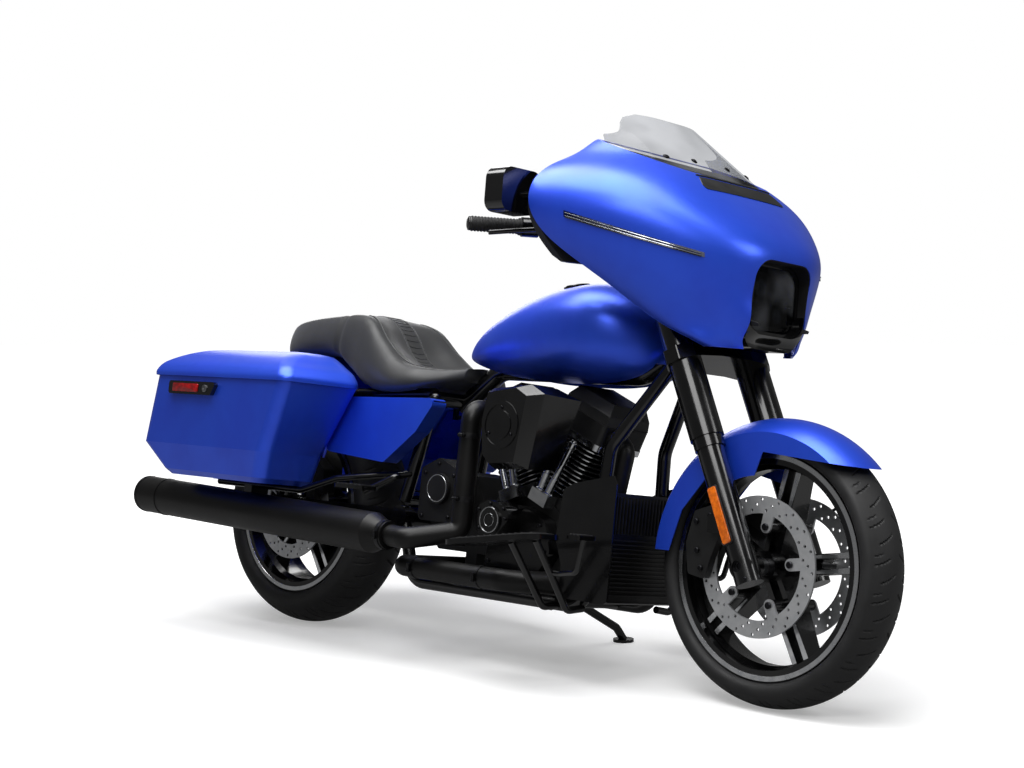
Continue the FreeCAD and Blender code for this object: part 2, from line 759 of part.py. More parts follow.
def room_below_shelf():
    """Everything lower than the shelf's underside."""
    space = Part.makeBox(1900, 1200, 800)
    space.translate(Vector(-950, -600, -800))
    space.rotate(ORIGIN, Y_AXIS, SCREEN_SLOPE_DEG)
    space.translate(Vector(SCREEN_BASE_X, 0, SCREEN_BASE_Z - 6))
    return space


def screen_section(z, inset):
    """One horizontal section through the bent sheet of the windscreen."""
    run = (SCREEN_TOP_Z - SCREEN_BASE_Z)
    share = (z - SCREEN_BASE_Z) / run
    nose = SCREEN_BASE_X + 2 - 188.0 * share - inset
    wing_x = 1206.0 - 96.0 * share
    wing_y = 214.0 - 34.0 * share - inset
    half = [
        Vector(wing_x, -wing_y, z),
        Vector(0.5 * (wing_x + nose) + 6, 8 - wing_y, z),
        Vector(nose - 32, 26 - wing_y, z),
        Vector(nose - 9, 88 - wing_y, z),
    ]
    front = Part.BSplineCurve()
    front.interpolate(half + [Vector(nose, 0, z)] + [Vector(p.x, -p.y, z) for p in half[::-1]])
    back = Part.LineSegment(Vector(wing_x, wing_y, z), Vector(wing_x, -wing_y, z))
    return Part.Wire([front.toShape(), back.toShape()])


def windscreen():
    """A low smoked screen, bent round the top of the fairing."""
    low, high = SCREEN_BASE_Z - 20, SCREEN_TOP_Z + 10
    outer = Part.makeLoft([screen_section(z, 0.0) for z in (low, high)], True, True)
    inner = Part.makeLoft([screen_section(z, SCREEN_THICK * 1.5) for z in (low - 1, high + 1)], True, True)
    sheet = outer.cut(inner)
    sheet = sheet.common(above_screen_line(SEAT_GAP))
    outline = [
        (-216, 1200), (216, 1200), (216, 1296), (200, 1308), (184, 1320), (168, 1346), (146, 1364), (112, SCREEN_TOP_Z),
        (-112, SCREEN_TOP_Z), (-146, 1364), (-168, 1346), (-184, 1320), (-200, 1308), (-216, 1296),
    ]
    return sheet.common(front_prism(outline, 1000, 1500))


def headlamp():
    """The lamp unit that fills the fairing's opening."""
    bowl = lamp_prism(0.0, LAMP_FACE_X - LAMP_DEPTH, LAMP_FACE_X, LAMP_Z - LAMP_HALF_H)
    floor_x = LAMP_FACE_X - LAMP_RECESS
    recess = lamp_prism(-LAMP_RIM, floor_x, LAMP_FACE_X + 1, LAMP_Z - LAMP_HALF_H + LAMP_RIM)
    parts = [bowl.cut(recess)]
    for z, radius in ((LAMP_Z + 26, 27.0), (LAMP_Z - 34, 22.0)):
        for side in (-1, 1):
            eye = rod(Vector(floor_x - 1, side * 34, z), Vector(LAMP_FACE_X - 9, side * 34, z), radius)
            parts.append(eye.cut(rod(Vector(floor_x + 4, side * 34, z), Vector(LAMP_FACE_X, side * 34, z), radius - 6)))
    parts.append(block(floor_x - 1, LAMP_FACE_X - 5, -LAMP_HALF_W + 14, LAMP_HALF_W - 14, LAMP_Z - 9, LAMP_Z - 3))
    return joined(parts)


def chin_trim():
    """The black piece under the lamp that closes the fairing's opening."""
    piece = lamp_prism(LAMP_GAP - SEAT_GAP, LAMP_FACE_X - 60, LAMP_FACE_X + 20, 812.0)
    space = lamp_prism(SEAT_GAP, LAMP_FACE_X - 70, LAMP_FACE_X + 30, LAMP_Z - LAMP_HALF_H - SEAT_GAP)
    trimmed = piece.cut(space).common(fairing_bulk(0.0))
    return trimmed.common(block(1400, 1700, -200, 200, 700, LAMP_Z - 30))


def turn_strips():
    """Thin lamps that follow the fairing's flanks."""
    band = fairing_bulk(2.5).cut(fairing_bulk(2 * SEAT_GAP))
    outline = [(1240, 1079), (1240, 1094), (1518, 1014), (1518, 1003)]
    strip = band.common(side_prism(outline, 100, 480))
    return both(strip)


# Controls


def grip_axis():
    """The grip's outer end and the direction inwards along it, on the left side."""
    sweep = math.radians(GRIP_SWEEP_DEG)
    return Vector(*GRIP_END), Vector(math.sin(sweep), -math.cos(sweep), 0.04)


def grips():
    """Rubber grips on the bar's ends."""
    end, inward = grip_axis()
    grip = rod(end, end + inward * GRIP_LENGTH, GRIP_R)
    bore = rod(end + inward * 4, end + inward * (GRIP_LENGTH + 5), BAR_R + PIN_CLEARANCE)
    return both(grip.cut(bore))


def bar_tube(grow):
    """The bent bar that runs through both grips."""
    end, inward = grip_axis()
    tip = end + inward * 6
    elbow = end + inward * (GRIP_LENGTH + 62)
    route = [tip, elbow, Vector(*BAR_CENTRE)]
    route += [Vector(p.x, -p.y, p.z) for p in route[::-1]]
    return bent_tube([(p.x, p.y, p.z) for p in route], BAR_R + grow, 42.0)


def handlebar():
    """The bar with its switch blocks."""
    end, inward = grip_axis()
    start = end + inward * (GRIP_LENGTH + 2)
    stop = end + inward * (GRIP_LENGTH + 42)
    block_left = rod(start, stop, 24.0)
    return joined([bar_tube(0.0), block_left, mirrored(block_left)])


def levers():
    """The brake and clutch levers."""
    end, inward = grip_axis()
    perch = end + inward * (GRIP_LENGTH + 24)
    knuckle = perch + Vector(46, 6, -6)
    tip = end + Vector(58, -14, -22)
    lever = bent_tube([tuple(perch + Vector(14, 0, 0)), tuple(knuckle), tuple(tip)], 6.0, 10.0)
    return both(lever).cut(handlebar())


def mirrors():
    """Boxy mirrors behind the fairing's wings."""
    shell = block(1052, 1112, 352, 474, 1090, 1194)
    shell = soft_prism(shell, Vector(1, 0, 0), 26.0)
    stalk = rod(Vector(1100, 392, 1136), Vector(1150, 392, 1136), 11.0)
    return both(joined([shell, stalk])).cut(inner_fairing())


# Engine


def cylinder_axis(tilt):
    """The crank's centre and the direction of one cylinder; tilt is 1 forward or -1 back."""
    angle = math.radians(V_HALF_DEG) * tilt
    return Vector(CRANK_X, 0, CRANK_Z), Vector(math.sin(angle), 0, math.cos(angle))


def upright_on_cylinder(shape, tilt):
    """Puts a shape drawn above the origin onto a cylinder's axis."""
    shape.rotate(ORIGIN, Y_AXIS, V_HALF_DEG * tilt)
    shape.translate(Vector(CRANK_X, 0, CRANK_Z))
    return shape


def finned_barrels():
    """Both cylinders with their cooling fins."""
    barrels = []
    for tilt in (-1, 1):
        low, high = DECK_S + SEAT_GAP, DECK_S + BARREL_LENGTH
        parts = [Part.makeCylinder(BARREL_R, high - low, Vector(0, 0, low))]
        count = int((high - low) // FIN_PITCH)
        for k in range(count):
            z = low + 6 + k * FIN_PITCH
            fin = block(-FIN_R, FIN_R, -FIN_R, FIN_R, z, z + FIN_THICK)
            fin = soft_prism(fin, Vector(0, 0, 1), FIN_R * 0.55)
            parts.append(fin)
        barrels.append(upright_on_cylinder(joined(parts), tilt))
    return barrels


def own_half(tilt):
    """The half of the V that one cylinder may fill."""
    if tilt > 0:
        return block(CRANK_X + 1.5, CRANK_X + 600, -300, 300, 0, 900)
    return block(CRANK_X - 600, CRANK_X - 1.5, -300, 300, 0, 900)


def cylinders():
    """The two finned barrels, trimmed where they would meet in the V."""
    rear, front = finned_barrels()
    return Part.makeCompound([front.common(own_half(1)), rear.common(own_half(-1))])


def cylinder_heads():
    """Heads with their rocker covers."""
    heads = []
    for tilt in (-1, 1):
        low = DECK_S + BARREL_LENGTH + SEAT_GAP
        head = block(-HEAD_HALF, HEAD_HALF, -HEAD_HALF, HEAD_HALF, low, low + HEAD_LENGTH)
        head = soft_prism(head, Vector(0, 0, 1), 16.0)
        top = low + HEAD_LENGTH
        cover = Part.makeLoft(
            [
                Part.makePolygon([Vector(x, y, z) for x, y in corners_of(half)])
                for half, z in ((HEAD_HALF - 4, top - 1), (HEAD_HALF - 8, top + 24), (HEAD_HALF - 22, top + ROCKER_LENGTH))
            ],
            True,
            True,
        )
        shape = joined([head, cover])
        heads.append(upright_on_cylinder(shape, tilt).common(own_half(tilt)))
    return Part.makeCompound(heads)


def corners_of(half):
    """A closed square about the origin."""
    return [(-half, -half), (half, -half), (half, half), (-half, half), (-half, -half)]


def engine_case():
    """Crankcase and gearbox as one body, with decks for the cylinders and feet on the frame."""
    parts = [across(CRANK_X, CRANK_Z, -CASE_HALF_W, CASE_HALF_W, CASE_R)]
    for tilt in (-1, 1):
        deck = block(-FIN_R + 6, FIN_R - 6, -CASE_HALF_W + 4, CASE_HALF_W - 4, 20, DECK_S)
        parts.append(upright_on_cylinder(deck, tilt).common(own_half(tilt)))
    gearbox = [
        (GEARBOX_REAR_X, GEARBOX_BASE_Z + 40),
        (GEARBOX_REAR_X + 40, GEARBOX_BASE_Z),
        (CRANK_X - 130, GEARBOX_BASE_Z),
        (CRANK_X - 90, GEARBOX_BASE_Z - 48),
        (CRANK_X, GEARBOX_BASE_Z - 50),
        (CRANK_X, CRANK_Z + 60),
        (GEARBOX_REAR_X + 210, CRANK_Z + 72),
        (GEARBOX_REAR_X + 160, GEARBOX_TOP_Z - 10),
        (GEARBOX_REAR_X + 60, GEARBOX_TOP_Z),
        (GEARBOX_REAR_X, GEARBOX_TOP_Z - 60),
    ]
    half = CASE_HALF_W - 4
    parts.append(side_prism(gearbox, -half, half))
    side_cover = soft_prism(side_prism([(576, 334), (704, 334), (712, 470), (640, 500), (576, 470)], -148, 1 - half), Y_AXIS, 16.0)
    parts.append(side_cover)
    parts.append(across(650, 420, -160, -140, 40.0))
    parts.append(across(CRANK_X, CRANK_Z, half - 1, PRIMARY_INNER_Y - SEAT_GAP, 92.0))
    parts.append(across(GEARBOX_REAR_X + 125, CRANK_Z + 34, half - 1, PRIMARY_INNER_Y - SEAT_GAP, 50.0))
    reach, seat_z = CRADLE_HALF_W + CRADLE_TUBE_R, CRADLE_Z + CRADLE_TUBE_R + SEAT_GAP
    parts.append(block(CRANK_X + 70, CRANK_X + 100, -reach, reach, seat_z, seat_z + 20))
    parts.append(block(CRANK_X + 60, CRANK_X + 100, -half, half, seat_z, seat_z + 50))
    parts.append(block(GEARBOX_REAR_X + 144, GEARBOX_REAR_X + 184, -reach, reach, seat_z, seat_z + 34))
    parts.append(block(GEARBOX_REAR_X + 144, GEARBOX_REAR_X + 184, -half, half, seat_z, GEARBOX_BASE_Z + 10))
    return joined(parts)


def engine_covers():
    """The cam cover on the right and the long primary cover on the left."""
    y0, y1 = -CAM_COVER_Y, -CASE_HALF_W - SEAT_GAP
    outline = [
        (CAM_COVER_X - 6, CAM_COVER_Z + 40),
        (CAM_COVER_X + 58, CAM_COVER_Z + 26),
        (CAM_COVER_X + 66, CAM_COVER_Z - 8),
        (CAM_COVER_X + 14, CAM_COVER_Z - 62),
        (CAM_COVER_X - 40, CAM_COVER_Z - 40),
        (CAM_COVER_X - 48, CAM_COVER_Z + 20),
    ]
    nose = soft_prism(side_prism(outline, y0, y1), Y_AXIS, 12.0)
    plate = side_prism(
        [
            (CRANK_X - 110, CRANK_Z - 60),
            (CRANK_X - 40, CRANK_Z - 92),
            (CRANK_X + 60, CRANK_Z - 86),
            (CRANK_X + 112, CRANK_Z - 10),
            (CRANK_X + 84, CRANK_Z + 70),
            (CRANK_X, CRANK_Z + 100),
            (CRANK_X - 84, CRANK_Z + 86),
        ],
        -CASE_HALF_W - 42,
        y1,
    )
    plate = soft_prism(plate, Y_AXIS, 20.0)
    badge = across(CAM_COVER_X + 6, CAM_COVER_Z - 10, -CAM_COVER_Y - 5, -CAM_COVER_Y + 2, 36.0)
    cam = joined([nose, plate, badge])
    far_x, far_z, far_r = GEARBOX_REAR_X + 105, CRANK_Z + 34, PRIMARY_REAR_R
    near, far = PRIMARY_INNER_Y, PRIMARY_OUTER_Y
    primary = joined(
        [
            across(CRANK_X, CRANK_Z, near, far, PRIMARY_R),
            across(far_x, far_z, near, far, far_r),
            side_prism(
                [
                    (CRANK_X, CRANK_Z - PRIMARY_R + 1),
                    (CRANK_X, CRANK_Z + PRIMARY_R - 1),
                    (far_x, far_z + far_r - 1),
                    (far_x, far_z - far_r + 1),
                ],
                near,
                far,
            ),
        ]
    )
    return Part.makeCompound([cam, primary])


def lifter_blocks():
    """Tappet blocks and the pushrod tubes that rise to the heads, on the right."""
    parts = []
    for tilt in (-1, 1):
        low, high = DECK_S - 12, DECK_S + BARREL_LENGTH - 4
        near = -CASE_HALF_W - SEAT_GAP
        base = block(-30, 30, near - 38, near, low - 20, low + 12)
        tubes = [base]
        for x in (-14, 14):
            foot = Vector(x, near - 22, low + 10)
            top = Vector(x * 1.6, near - 14, high)
            tubes.append(rod(foot, top, 7.5))
            tubes.append(rod(foot, foot + (top - foot) * 0.34, 9.5))
        parts.append(upright_on_cylinder(joined(tubes), tilt))
    return Part.makeCompound(parts)


def air_cleaner():
    """The wedge-shaped intake cover on the right, with the manifold behind it between the heads."""
    levels = (
        (-264.0, [(905, 516), (893, 598), (906, 668), (1000, 682), (1036, 664), (1012, 502), (930, 494)]),
        (-232.0, [(893, 508), (880, 600), (895, 680), (1020, 694), (1066, 672), (1034, 488), (922, 482)]),
        (-150.0, [(886, 512), (876, 600), (888, 676), (1030, 692), (1112, 664), (1048, 492), (920, 488)]),
    )
    wires = []
    for y, outline in levels:
        points = [Vector(x, y, z) for x, z in outline]
        wires.append(Part.makePolygon(points + points[:1]))
    cover = Part.makeLoft(wires, True, True)
    duct = block(CRANK_X - 26, CRANK_X + 26, -154, HEAD_HALF, 616, 664)
    arms = block(CRANK_X - 90, CRANK_X + 90, -24, 24, 620, 660)
    return joined([cover, duct, arms]).cut(cylinder_heads())


# Exhaust


def headers():
    """The rear cylinder's drop pipe, and the front one's pipe that crosses to the left muffler."""
    port, out = cylinder_axis(1)
    port = port + out * (DECK_S + BARREL_LENGTH + SEAT_GAP + HEAD_LENGTH / 2)
    forward = Vector(out.z, 0, -out.x)
    start = port + forward * (HEAD_HALF + SEAT_GAP) + Vector(0, -40, 0)
    right_end, right_run = muffler_inlet(-1, MUFFLER_FRONT_X)
    left_end, left_run = muffler_inlet(1, LEFT_MUFFLER_FRONT_X)
    drop = bent_tube(
        [
            (798, -HEAD_HALF - SEAT_GAP, 626),
            (798, -204, 626),
            (798, -206, 318),
            tuple(right_run),
            tuple(right_end),
        ],
        HEADER_R,
        30.0,
    )
    low = bent_tube(
        [
            tuple(start),
            tuple(start + forward * 44),
            (1130, -62, 226),
            (1050, -215, 218),
            (1000, -250, 217),
            (CROSSOVER_X, -250, 218),
            (CROSSOVER_X, MUFFLER_Y - 62, 220),
            tuple(left_run),
            tuple(left_end),
        ],
        HEADER_R,
        29.0,
    )
    return Part.makeCompound([drop, low])


def muffler_axis(side, front_x):
    """A muffler's tail, its front and its length; the front can end early on the same line."""
    tail = Vector(MUFFLER_TAIL_X, side * MUFFLER_Y, MUFFLER_TAIL_Z)
    slope = (MUFFLER_FRONT_Z - MUFFLER_TAIL_Z) / (MUFFLER_FRONT_X - MUFFLER_TAIL_X)
    front = Vector(front_x, side * MUFFLER_Y, MUFFLER_TAIL_Z + slope * (front_x - MUFFLER_TAIL_X))
    return tail, front


def muffler_inlet(side, front_x):
    """Where a header ends against its muffler, and the point before it on the same line."""
    tail, front = muffler_axis(side, front_x)
    along = (front - tail).normalize()
    return front + along * SEAT_GAP, front + along * 62


def muffler(side, front_x):
    """A long muffler: a rolled tail with a band, a straight can and a tapered front."""
    tail, front = muffler_axis(side, front_x)
    length = (front - tail).Length
    r, inlet = MUFFLER_R, HEADER_R + 9
    outline = [
        (0, r - 9), (0, r - 3), (3, r), (92, r), (93, r - 1.5), (96, r - 1.5), (97, r),
        (length - 60, r), (length - 24, inlet), (length, inlet), (length, 0), (TAIL_DEPTH, 0), (TAIL_DEPTH, r - 9),
    ]
    points = [Vector(x, 0, z) for x, z in outline]
    face = Part.Face(Part.makePolygon(points + points[:1]))
    can = face.revolve(ORIGIN, Vector(1, 0, 0), 360)
    can.rotate(ORIGIN, Y_AXIS, math.degrees(math.atan2(tail.z - front.z, front.x - tail.x)))
    can.translate(tail)
    return can


def mufflers():
    """The right muffler, and the left one with its shorter front."""
    return Part.makeCompound([muffler(-1, MUFFLER_FRONT_X), muffler(1, LEFT_MUFFLER_FRONT_X)])


# Frame


def spine_tube(grow):
    """The backbone from the steering head to the seat."""
    neck = steer_point(868)
    route = [(neck.x - 4, 0, neck.z - 4), (SPINE_FRONT_X, 0, SPINE_Z), (690, 0, SPINE_Z), (560, 0, 640)]
    return bent_tube(route, MAIN_TUBE_R + grow, 80.0)


def frame_main():
    """Head tube, backbone, seat rails and the stays for the side covers and the fender."""
    parts = [head_tube(), spine_tube(0.0)]
    parts.append(across(562, RAIL_Z - 12, -RAIL_HALF_W, RAIL_HALF_W, 20.0))
    for side in (-1, 1):
        y, rear_y = side * RAIL_HALF_W, side * RAIL_REAR_HALF_W
        parts.append(rod(Vector(562, y, RAIL_Z), Vector(140, rear_y, 650), 15.0))
        parts.append(Part.makeSphere(20.0, Vector(562, y, RAIL_Z - 12)))
        strut_foot = Vector(PIVOT_X, side * CRADLE_HALF_W, PIVOT_Z + 42)
        parts.append(rod(Vector(562, y, RAIL_Z - 12), strut_foot, CRADLE_TUBE_R))
        stay_y = side * (SIDE_COVER_Y - SIDE_COVER_THICK - SEAT_GAP)
        parts.append(block(394, 406, min(side * 122, side * 134), max(side * 122, side * 134), 612, 660))
        parts.append(across(400, 620, min(side * 124, stay_y), max(side * 124, stay_y), 6.0))
        parts.append(rod(Vector(190, side * 140, 652), Vector(190, side * (REAR_FENDER_HALF_W + SEAT_GAP), 652), 10.0))
        near = side * (SHOCK_Y - SHOCK_R - SEAT_GAP - 10)
        far = side * (SHOCK_Y - SHOCK_R - SEAT_GAP)
        parts.append(block(136, 164, min(near, far), max(near, far), 596, 650))
    bore = rod(steer_point(650), steer_point(1100), STEM_R + PIN_CLEARANCE)
    return joined(parts).cut(bore)


def cradle_loop(side, grow):
    """One lower loop, from below the steering head to the swingarm's pivot."""
    y = side * CRADLE_HALF_W
    route = [
        (1352, side * 18, 856),
        (1180, side * 104, 560),
        (1170, y, CRADLE_Z),
        (560, y, CRADLE_Z),
        (PIVOT_X, y, PIVOT_Z + 42 - CRADLE_TUBE_R),
    ]
    return bent_tube(route, CRADLE_TUBE_R + grow, 60.0)


def frame_cradle():
    """The two lower loops that carry the engine, with the swingarm's and the side stand's pivots."""
    inner = CRADLE_HALF_W - CRADLE_TUBE_R
    loops = []
    for side in (-1, 1):
        near, far = side * inner, side * (inner + 2 * CRADLE_TUBE_R)
        plate = across(PIVOT_X, PIVOT_Z, min(near, far), max(near, far), 30.0)
        parts = [cradle_loop(side, 0.0), plate]
        if side > 0:
            axis = Vector(*STAND_AXIS).normalize()
            root = Vector(*STAND_PIVOT) - axis * (STAND_BOSS_HALF + SEAT_GAP)
            parts.append(rod(root, root - axis * 40, STAND_BOSS_R))
        loops.append(joined(parts).cut(frame_main()))
    bridge = across(1060, CRADLE_Z, -CRADLE_HALF_W, CRADLE_HALF_W, 12.0)
    return joined(loops + [bridge])


def swingarm():
    """Twin arms from the pivot to the rear axle."""
    half = CRADLE_HALF_W - CRADLE_TUBE_R - SEAT_GAP
    parts = [across(PIVOT_X, PIVOT_Z, -half, half, 26.0)]
    for side in (-1, 1):
        plan = [(496, 72), (330, 100), (160, 113), (-34, 113), (-34, 134), (160, 134), (330, 122), (496, 96)]
        parts.append(plan_prism([(x, side * y) for x, y in plan], REAR_TYRE_R - 22, REAR_TYRE_R + 26))
    arm = joined(parts)
    return arm.cut(across(0, REAR_TYRE_R, -200, 200, AXLE_R + PIN_CLEARANCE))


def shocks():
    """Two rear shock absorbers beside the wheel."""
    low, high = Vector(42, SHOCK_Y, 354), Vector(150, SHOCK_Y, 620)
    along = (high - low).normalize()
    shock = rod(low + along * 10, high - along * 10, SHOCK_R - 6)
    sleeve = rod(low + along * 40, low + along * 190, SHOCK_R)
    eyes = [across(p.x, p.z, SHOCK_Y - SHOCK_R, SHOCK_Y + SHOCK_R * 0.6, 15.0) for p in (low, high)]
    pin = across(low.x, low.z - 8, 134 + SEAT_GAP, SHOCK_Y, 5.0)
    return both(joined([shock, sleeve, pin] + eyes))


def rear_axle():
    """The rear axle, its spacers and its nuts."""
    shaft = across(0, REAR_TYRE_R, -REAR_AXLE_HALF, REAR_AXLE_HALF, AXLE_R)
    nut = across(0, REAR_TYRE_R, 134 + SEAT_GAP, 150, 20.0)
    left = across(0, REAR_TYRE_R, REAR_PULLEY_Y + SEAT_GAP, 113 - SEAT_GAP, 17.0)
    right = across(0, REAR_TYRE_R, -113 + SEAT_GAP, -REAR_DISC_Y + 4 - SEAT_GAP, 17.0)
    return joined([shaft, nut, mirrored(nut), left, right])


def belt_outline(grow, y0, y1):
    """The straight-sided outline round both belt pulleys."""
    rear_r, front_r = REAR_PULLEY_R + grow, FRONT_PULLEY_R + grow
    parts = [across(0, REAR_TYRE_R, y0, y1, rear_r), across(FRONT_PULLEY_X, FRONT_PULLEY_Z, y0, y1, front_r)]
    run = Vector(FRONT_PULLEY_X, 0, FRONT_PULLEY_Z - REAR_TYRE_R)
    tilt = math.atan2(run.z, run.x)
    splay = math.acos((rear_r - front_r) / run.Length)
    corners = []
    for sign in (1, -1):
        angle = tilt + sign * splay
        c, s = math.cos(angle), math.sin(angle)
        pair = [(rear_r * c, REAR_TYRE_R + rear_r * s), (FRONT_PULLEY_X + front_r * c, FRONT_PULLEY_Z + front_r * s)]
        corners += pair if sign > 0 else pair[::-1]
    parts.append(side_prism(corners, y0, y1))
    return joined(parts)


def drive_belt():
    """The belt on the left, from the gearbox to the rear wheel."""
    y0, y1 = REAR_PULLEY_Y - BELT_W, REAR_PULLEY_Y - 1
    return belt_outline(5.0, y0, y1).cut(belt_outline(0.6, y0 - 1, y1 + 1))


def belt_pulleys():
    """The front pulley on the gearbox's shaft."""
    wheel = across(FRONT_PULLEY_X, FRONT_PULLEY_Z, REAR_PULLEY_Y - BELT_W, REAR_PULLEY_Y, FRONT_PULLEY_R)
    shaft = across(FRONT_PULLEY_X, FRONT_PULLEY_Z, 20, REAR_PULLEY_Y - BELT_W + 1, 14.0)
    return joined([wheel, shaft]).cut(engine_case())


def rear_pulley():
    """The toothed pulley on the rear wheel's left."""
    wheel = across(0, REAR_TYRE_R, REAR_DISC_Y - 4 + SEAT_GAP, REAR_PULLEY_Y, REAR_PULLEY_R)
    holes = turned_copies(across(62, REAR_TYRE_R, 60, 140, 17.0), REAR_AXLE, 5, 8.0)
    return wheel.cut(Part.makeCompound(holes)).cut(across(0, REAR_TYRE_R, 60, 140, AXLE_R + PIN_CLEARANCE))


def rear_caliper():
    """The rear brake's caliper, carried by the right arm."""
    outline = [(88, 360), (150, 372), (140, 440), (96, 474), (58, 452), (70, 400)]
    body = caliper(REAR_AXLE, REAR_DISC_R, REAR_DISC_Y, outline, 20.0)
    stay = block(92, 126, 100, 126, REAR_TYRE_R + 26 + SEAT_GAP, 380)
    posts_r = REAR_DISC_R - DISC_BAND - DISC_LUG_R
    wheel_room = across(0, REAR_TYRE_R, 0, REAR_DISC_Y + DISC_THICK / 2, posts_r + CALIPER_GAP)
    slot = across(0, REAR_TYRE_R, 88, 96, REAR_DISC_R + CALIPER_GAP)
    return mirrored(joined([body, stay]).cut([slot, wheel_room]))


# Bodywork


def ring_wire(points):
    """A smooth closed curve through points."""
    curve = Part.BSplineCurve()
    curve.interpolate(points, PeriodicFlag=True)
    return Part.Wire(curve.toShape())


def oval_section(x, half_w, low, high, square):
    """A rounded section across the machine; square is 1 for an ellipse and less for fuller corners."""
    middle, half_h = (low + high) / 2, (high - low) / 2
    points = []
    for k in range(16):
        a = math.radians(k * 22.5)
        c, s = math.cos(a), math.sin(a)
        y = half_w * math.copysign(abs(c) ** square, c)
        z = middle + half_h * math.copysign(abs(s) ** square, s)
        points.append(Vector(x, y, z))
    return ring_wire(points)


def fuel_tank():
    """A teardrop tank that straddles the backbone."""
    wires = [oval_section(x, w, low, high, 0.82) for x, w, low, high in TANK_STATIONS]
    tank = Part.makeLoft(wires, True, False)
    top = SPINE_Z + MAIN_TUBE_R + SEAT_GAP
    tunnel = block(500, 1400, -TANK_TUNNEL_HALF, TANK_TUNNEL_HALF, 600, top)
    return tank.cut(tunnel).cut(spine_tube(SEAT_GAP)).cut(frame_main())


def seat_section(station):
    """One section across the seat, dished between its raised edges."""
    x, w, low, middle, edge = station
    return ring_wire(
        [
            Vector(x, 0, low),
            Vector(x, w * 0.6, low),
            Vector(x, w * 0.95, low + 0.16 * (edge - low)),
            Vector(x, w, low + 0.5 * (edge - low)),
            Vector(x, w * 0.86, edge - 0.06 * (edge - low)),
            Vector(x, w * 0.62, edge),
            Vector(x, w * 0.3, (edge + 2 * middle) / 3),
            Vector(x, 0, middle),
            Vector(x, -w * 0.3, (edge + 2 * middle) / 3),
            Vector(x, -w * 0.62, edge),
            Vector(x, -w * 0.86, edge - 0.06 * (edge - low)),
            Vector(x, -w, low + 0.5 * (edge - low)),
            Vector(x, -w * 0.95, low + 0.16 * (edge - low)),
            Vector(x, -w * 0.6, low),
        ]
    )


def seat():
    """One seat for two: a low dished place for the rider and a raised one behind."""
    pad = Part.makeLoft([seat_section(s) for s in SEAT_STATIONS], True, False)
    pad = pad.cut(block(60, 700, -150, 150, 500, RAIL_Z + 15 + SEAT_GAP))
    pad = pad.cut(spine_tube(2 * SEAT_GAP))
    return pad.cut(rear_fender_bulk(2 * SEAT_GAP))


def rear_fender_bulk(grow):
    """The space that the rear fender and its wheel take up."""
    centre = Vector(REAR_FENDER_X, 0, REAR_FENDER_Z)
    return fender_shell(centre, REAR_FENDER_R + grow, REAR_FENDER_HALF_W + grow, 120.0, 0.0, -98.0, 130.0)


def rear_fender():
    """The arch over the rear wheel, with straight sides between the bags."""
    centre = Vector(REAR_FENDER_X, 0, REAR_FENDER_Z)
    shell = fender_shell(centre, REAR_FENDER_R, REAR_FENDER_HALF_W, 250.0, FENDER_SHEET, -98.0, 130.0)
    keep = [(-420, 380), (-150, 380), (-140, 560), (220, 560), (260, 640), (260, 820), (-420, 820)]
    return shell.common(side_prism(keep, -200, 200))


def rounded_outline(corners, z, radius):
    """A closed wire of straight sides and round corners at one height."""
    edges = []
    count = len(corners)
    ends = []
    for k in range(count):
        corner = Vector(*corners[k], z)
        before = (Vector(*corners[k - 1], z) - corner).normalize()
        after = (Vector(*corners[(k + 1) % count], z) - corner).normalize()
        half = before.getAngle(after) / 2
        reach = radius / math.tan(half)
        middle = corner + (before + after).normalize() * (radius / math.sin(half) - radius)
        ends.append((corner + before * reach, middle, corner + after * reach))
    for k in range(count):
        start, middle, end = ends[k]
        edges.append(Part.Arc(start, middle, end).toShape())
        edges.append(Part.LineSegment(end, ends[(k + 1) % count][0]).toShape())
    return Part.Wire(edges)


def bag_section(z, rear_x, front_x, front_in_x, outer_y, inset, radius):
    """A saddlebag's section at one height, on the left side, shrunk by a wall."""
    inner_y = BAG_INNER_Y
    corners = [
        (rear_x + inset, inner_y + inset),
        (front_in_x - inset, inner_y + inset),
        (front_x - inset, outer_y - inset),
        (rear_x + 26 + inset, outer_y - inset),
    ]
    return rounded_outline(corners, z, radius)


BAG_LEVELS = (
    # height, rear x, front x outside, front x inside, outer y, corner radius
    (BAG_FLOOR_Z, -200.0, 236.0, 222.0, BAG_OUTER_Y - 34, 34.0),
    (BAG_FLOOR_Z + 14, -216.0, 250.0, 236.0, BAG_OUTER_Y - 20, 34.0),
    (BAG_FLOOR_Z + 84, -300.0, 276.0, 262.0, BAG_OUTER_Y - 4, 34.0),
    (BAG_SEAM_Z, -262.0, 330.0, 392.0, BAG_OUTER_Y, 34.0),
)
LID_LEVELS = (
    (BAG_SEAM_Z, -270.0, 336.0, 398.0, BAG_OUTER_Y + 6, 36.0),
    (BAG_SEAM_Z + 14, -272.0, 336.0, 398.0, BAG_OUTER_Y + 4, 36.0),
    (BAG_SEAM_Z + 54, -236.0, 296.0, 350.0, BAG_OUTER_Y - 36, 40.0),
    (BAG_LID_TOP_Z - 6, -170.0, 262.0, 300.0, BAG_OUTER_Y - 92, 46.0),
    (BAG_LID_TOP_Z, -120.0, 240.0, 270.0, BAG_OUTER_Y - 120, 46.0),
)


def bag_bulk(levels, inset, lift=0.0):
    """The solid through a list of sections."""
    wires = []
    for z, rear, front, front_in, outer, radius in levels:
        wires.append(bag_section(z + lift, rear, front, front_in, outer, inset, radius - inset))
    return Part.makeLoft(wires, True, True)


def saddlebag():
    """The left bag's tub, open at the top."""
    cavity = bag_bulk(BAG_LEVELS, BAG_WALL, BAG_WALL)
    return bag_bulk(BAG_LEVELS, 0.0).cut(cavity)


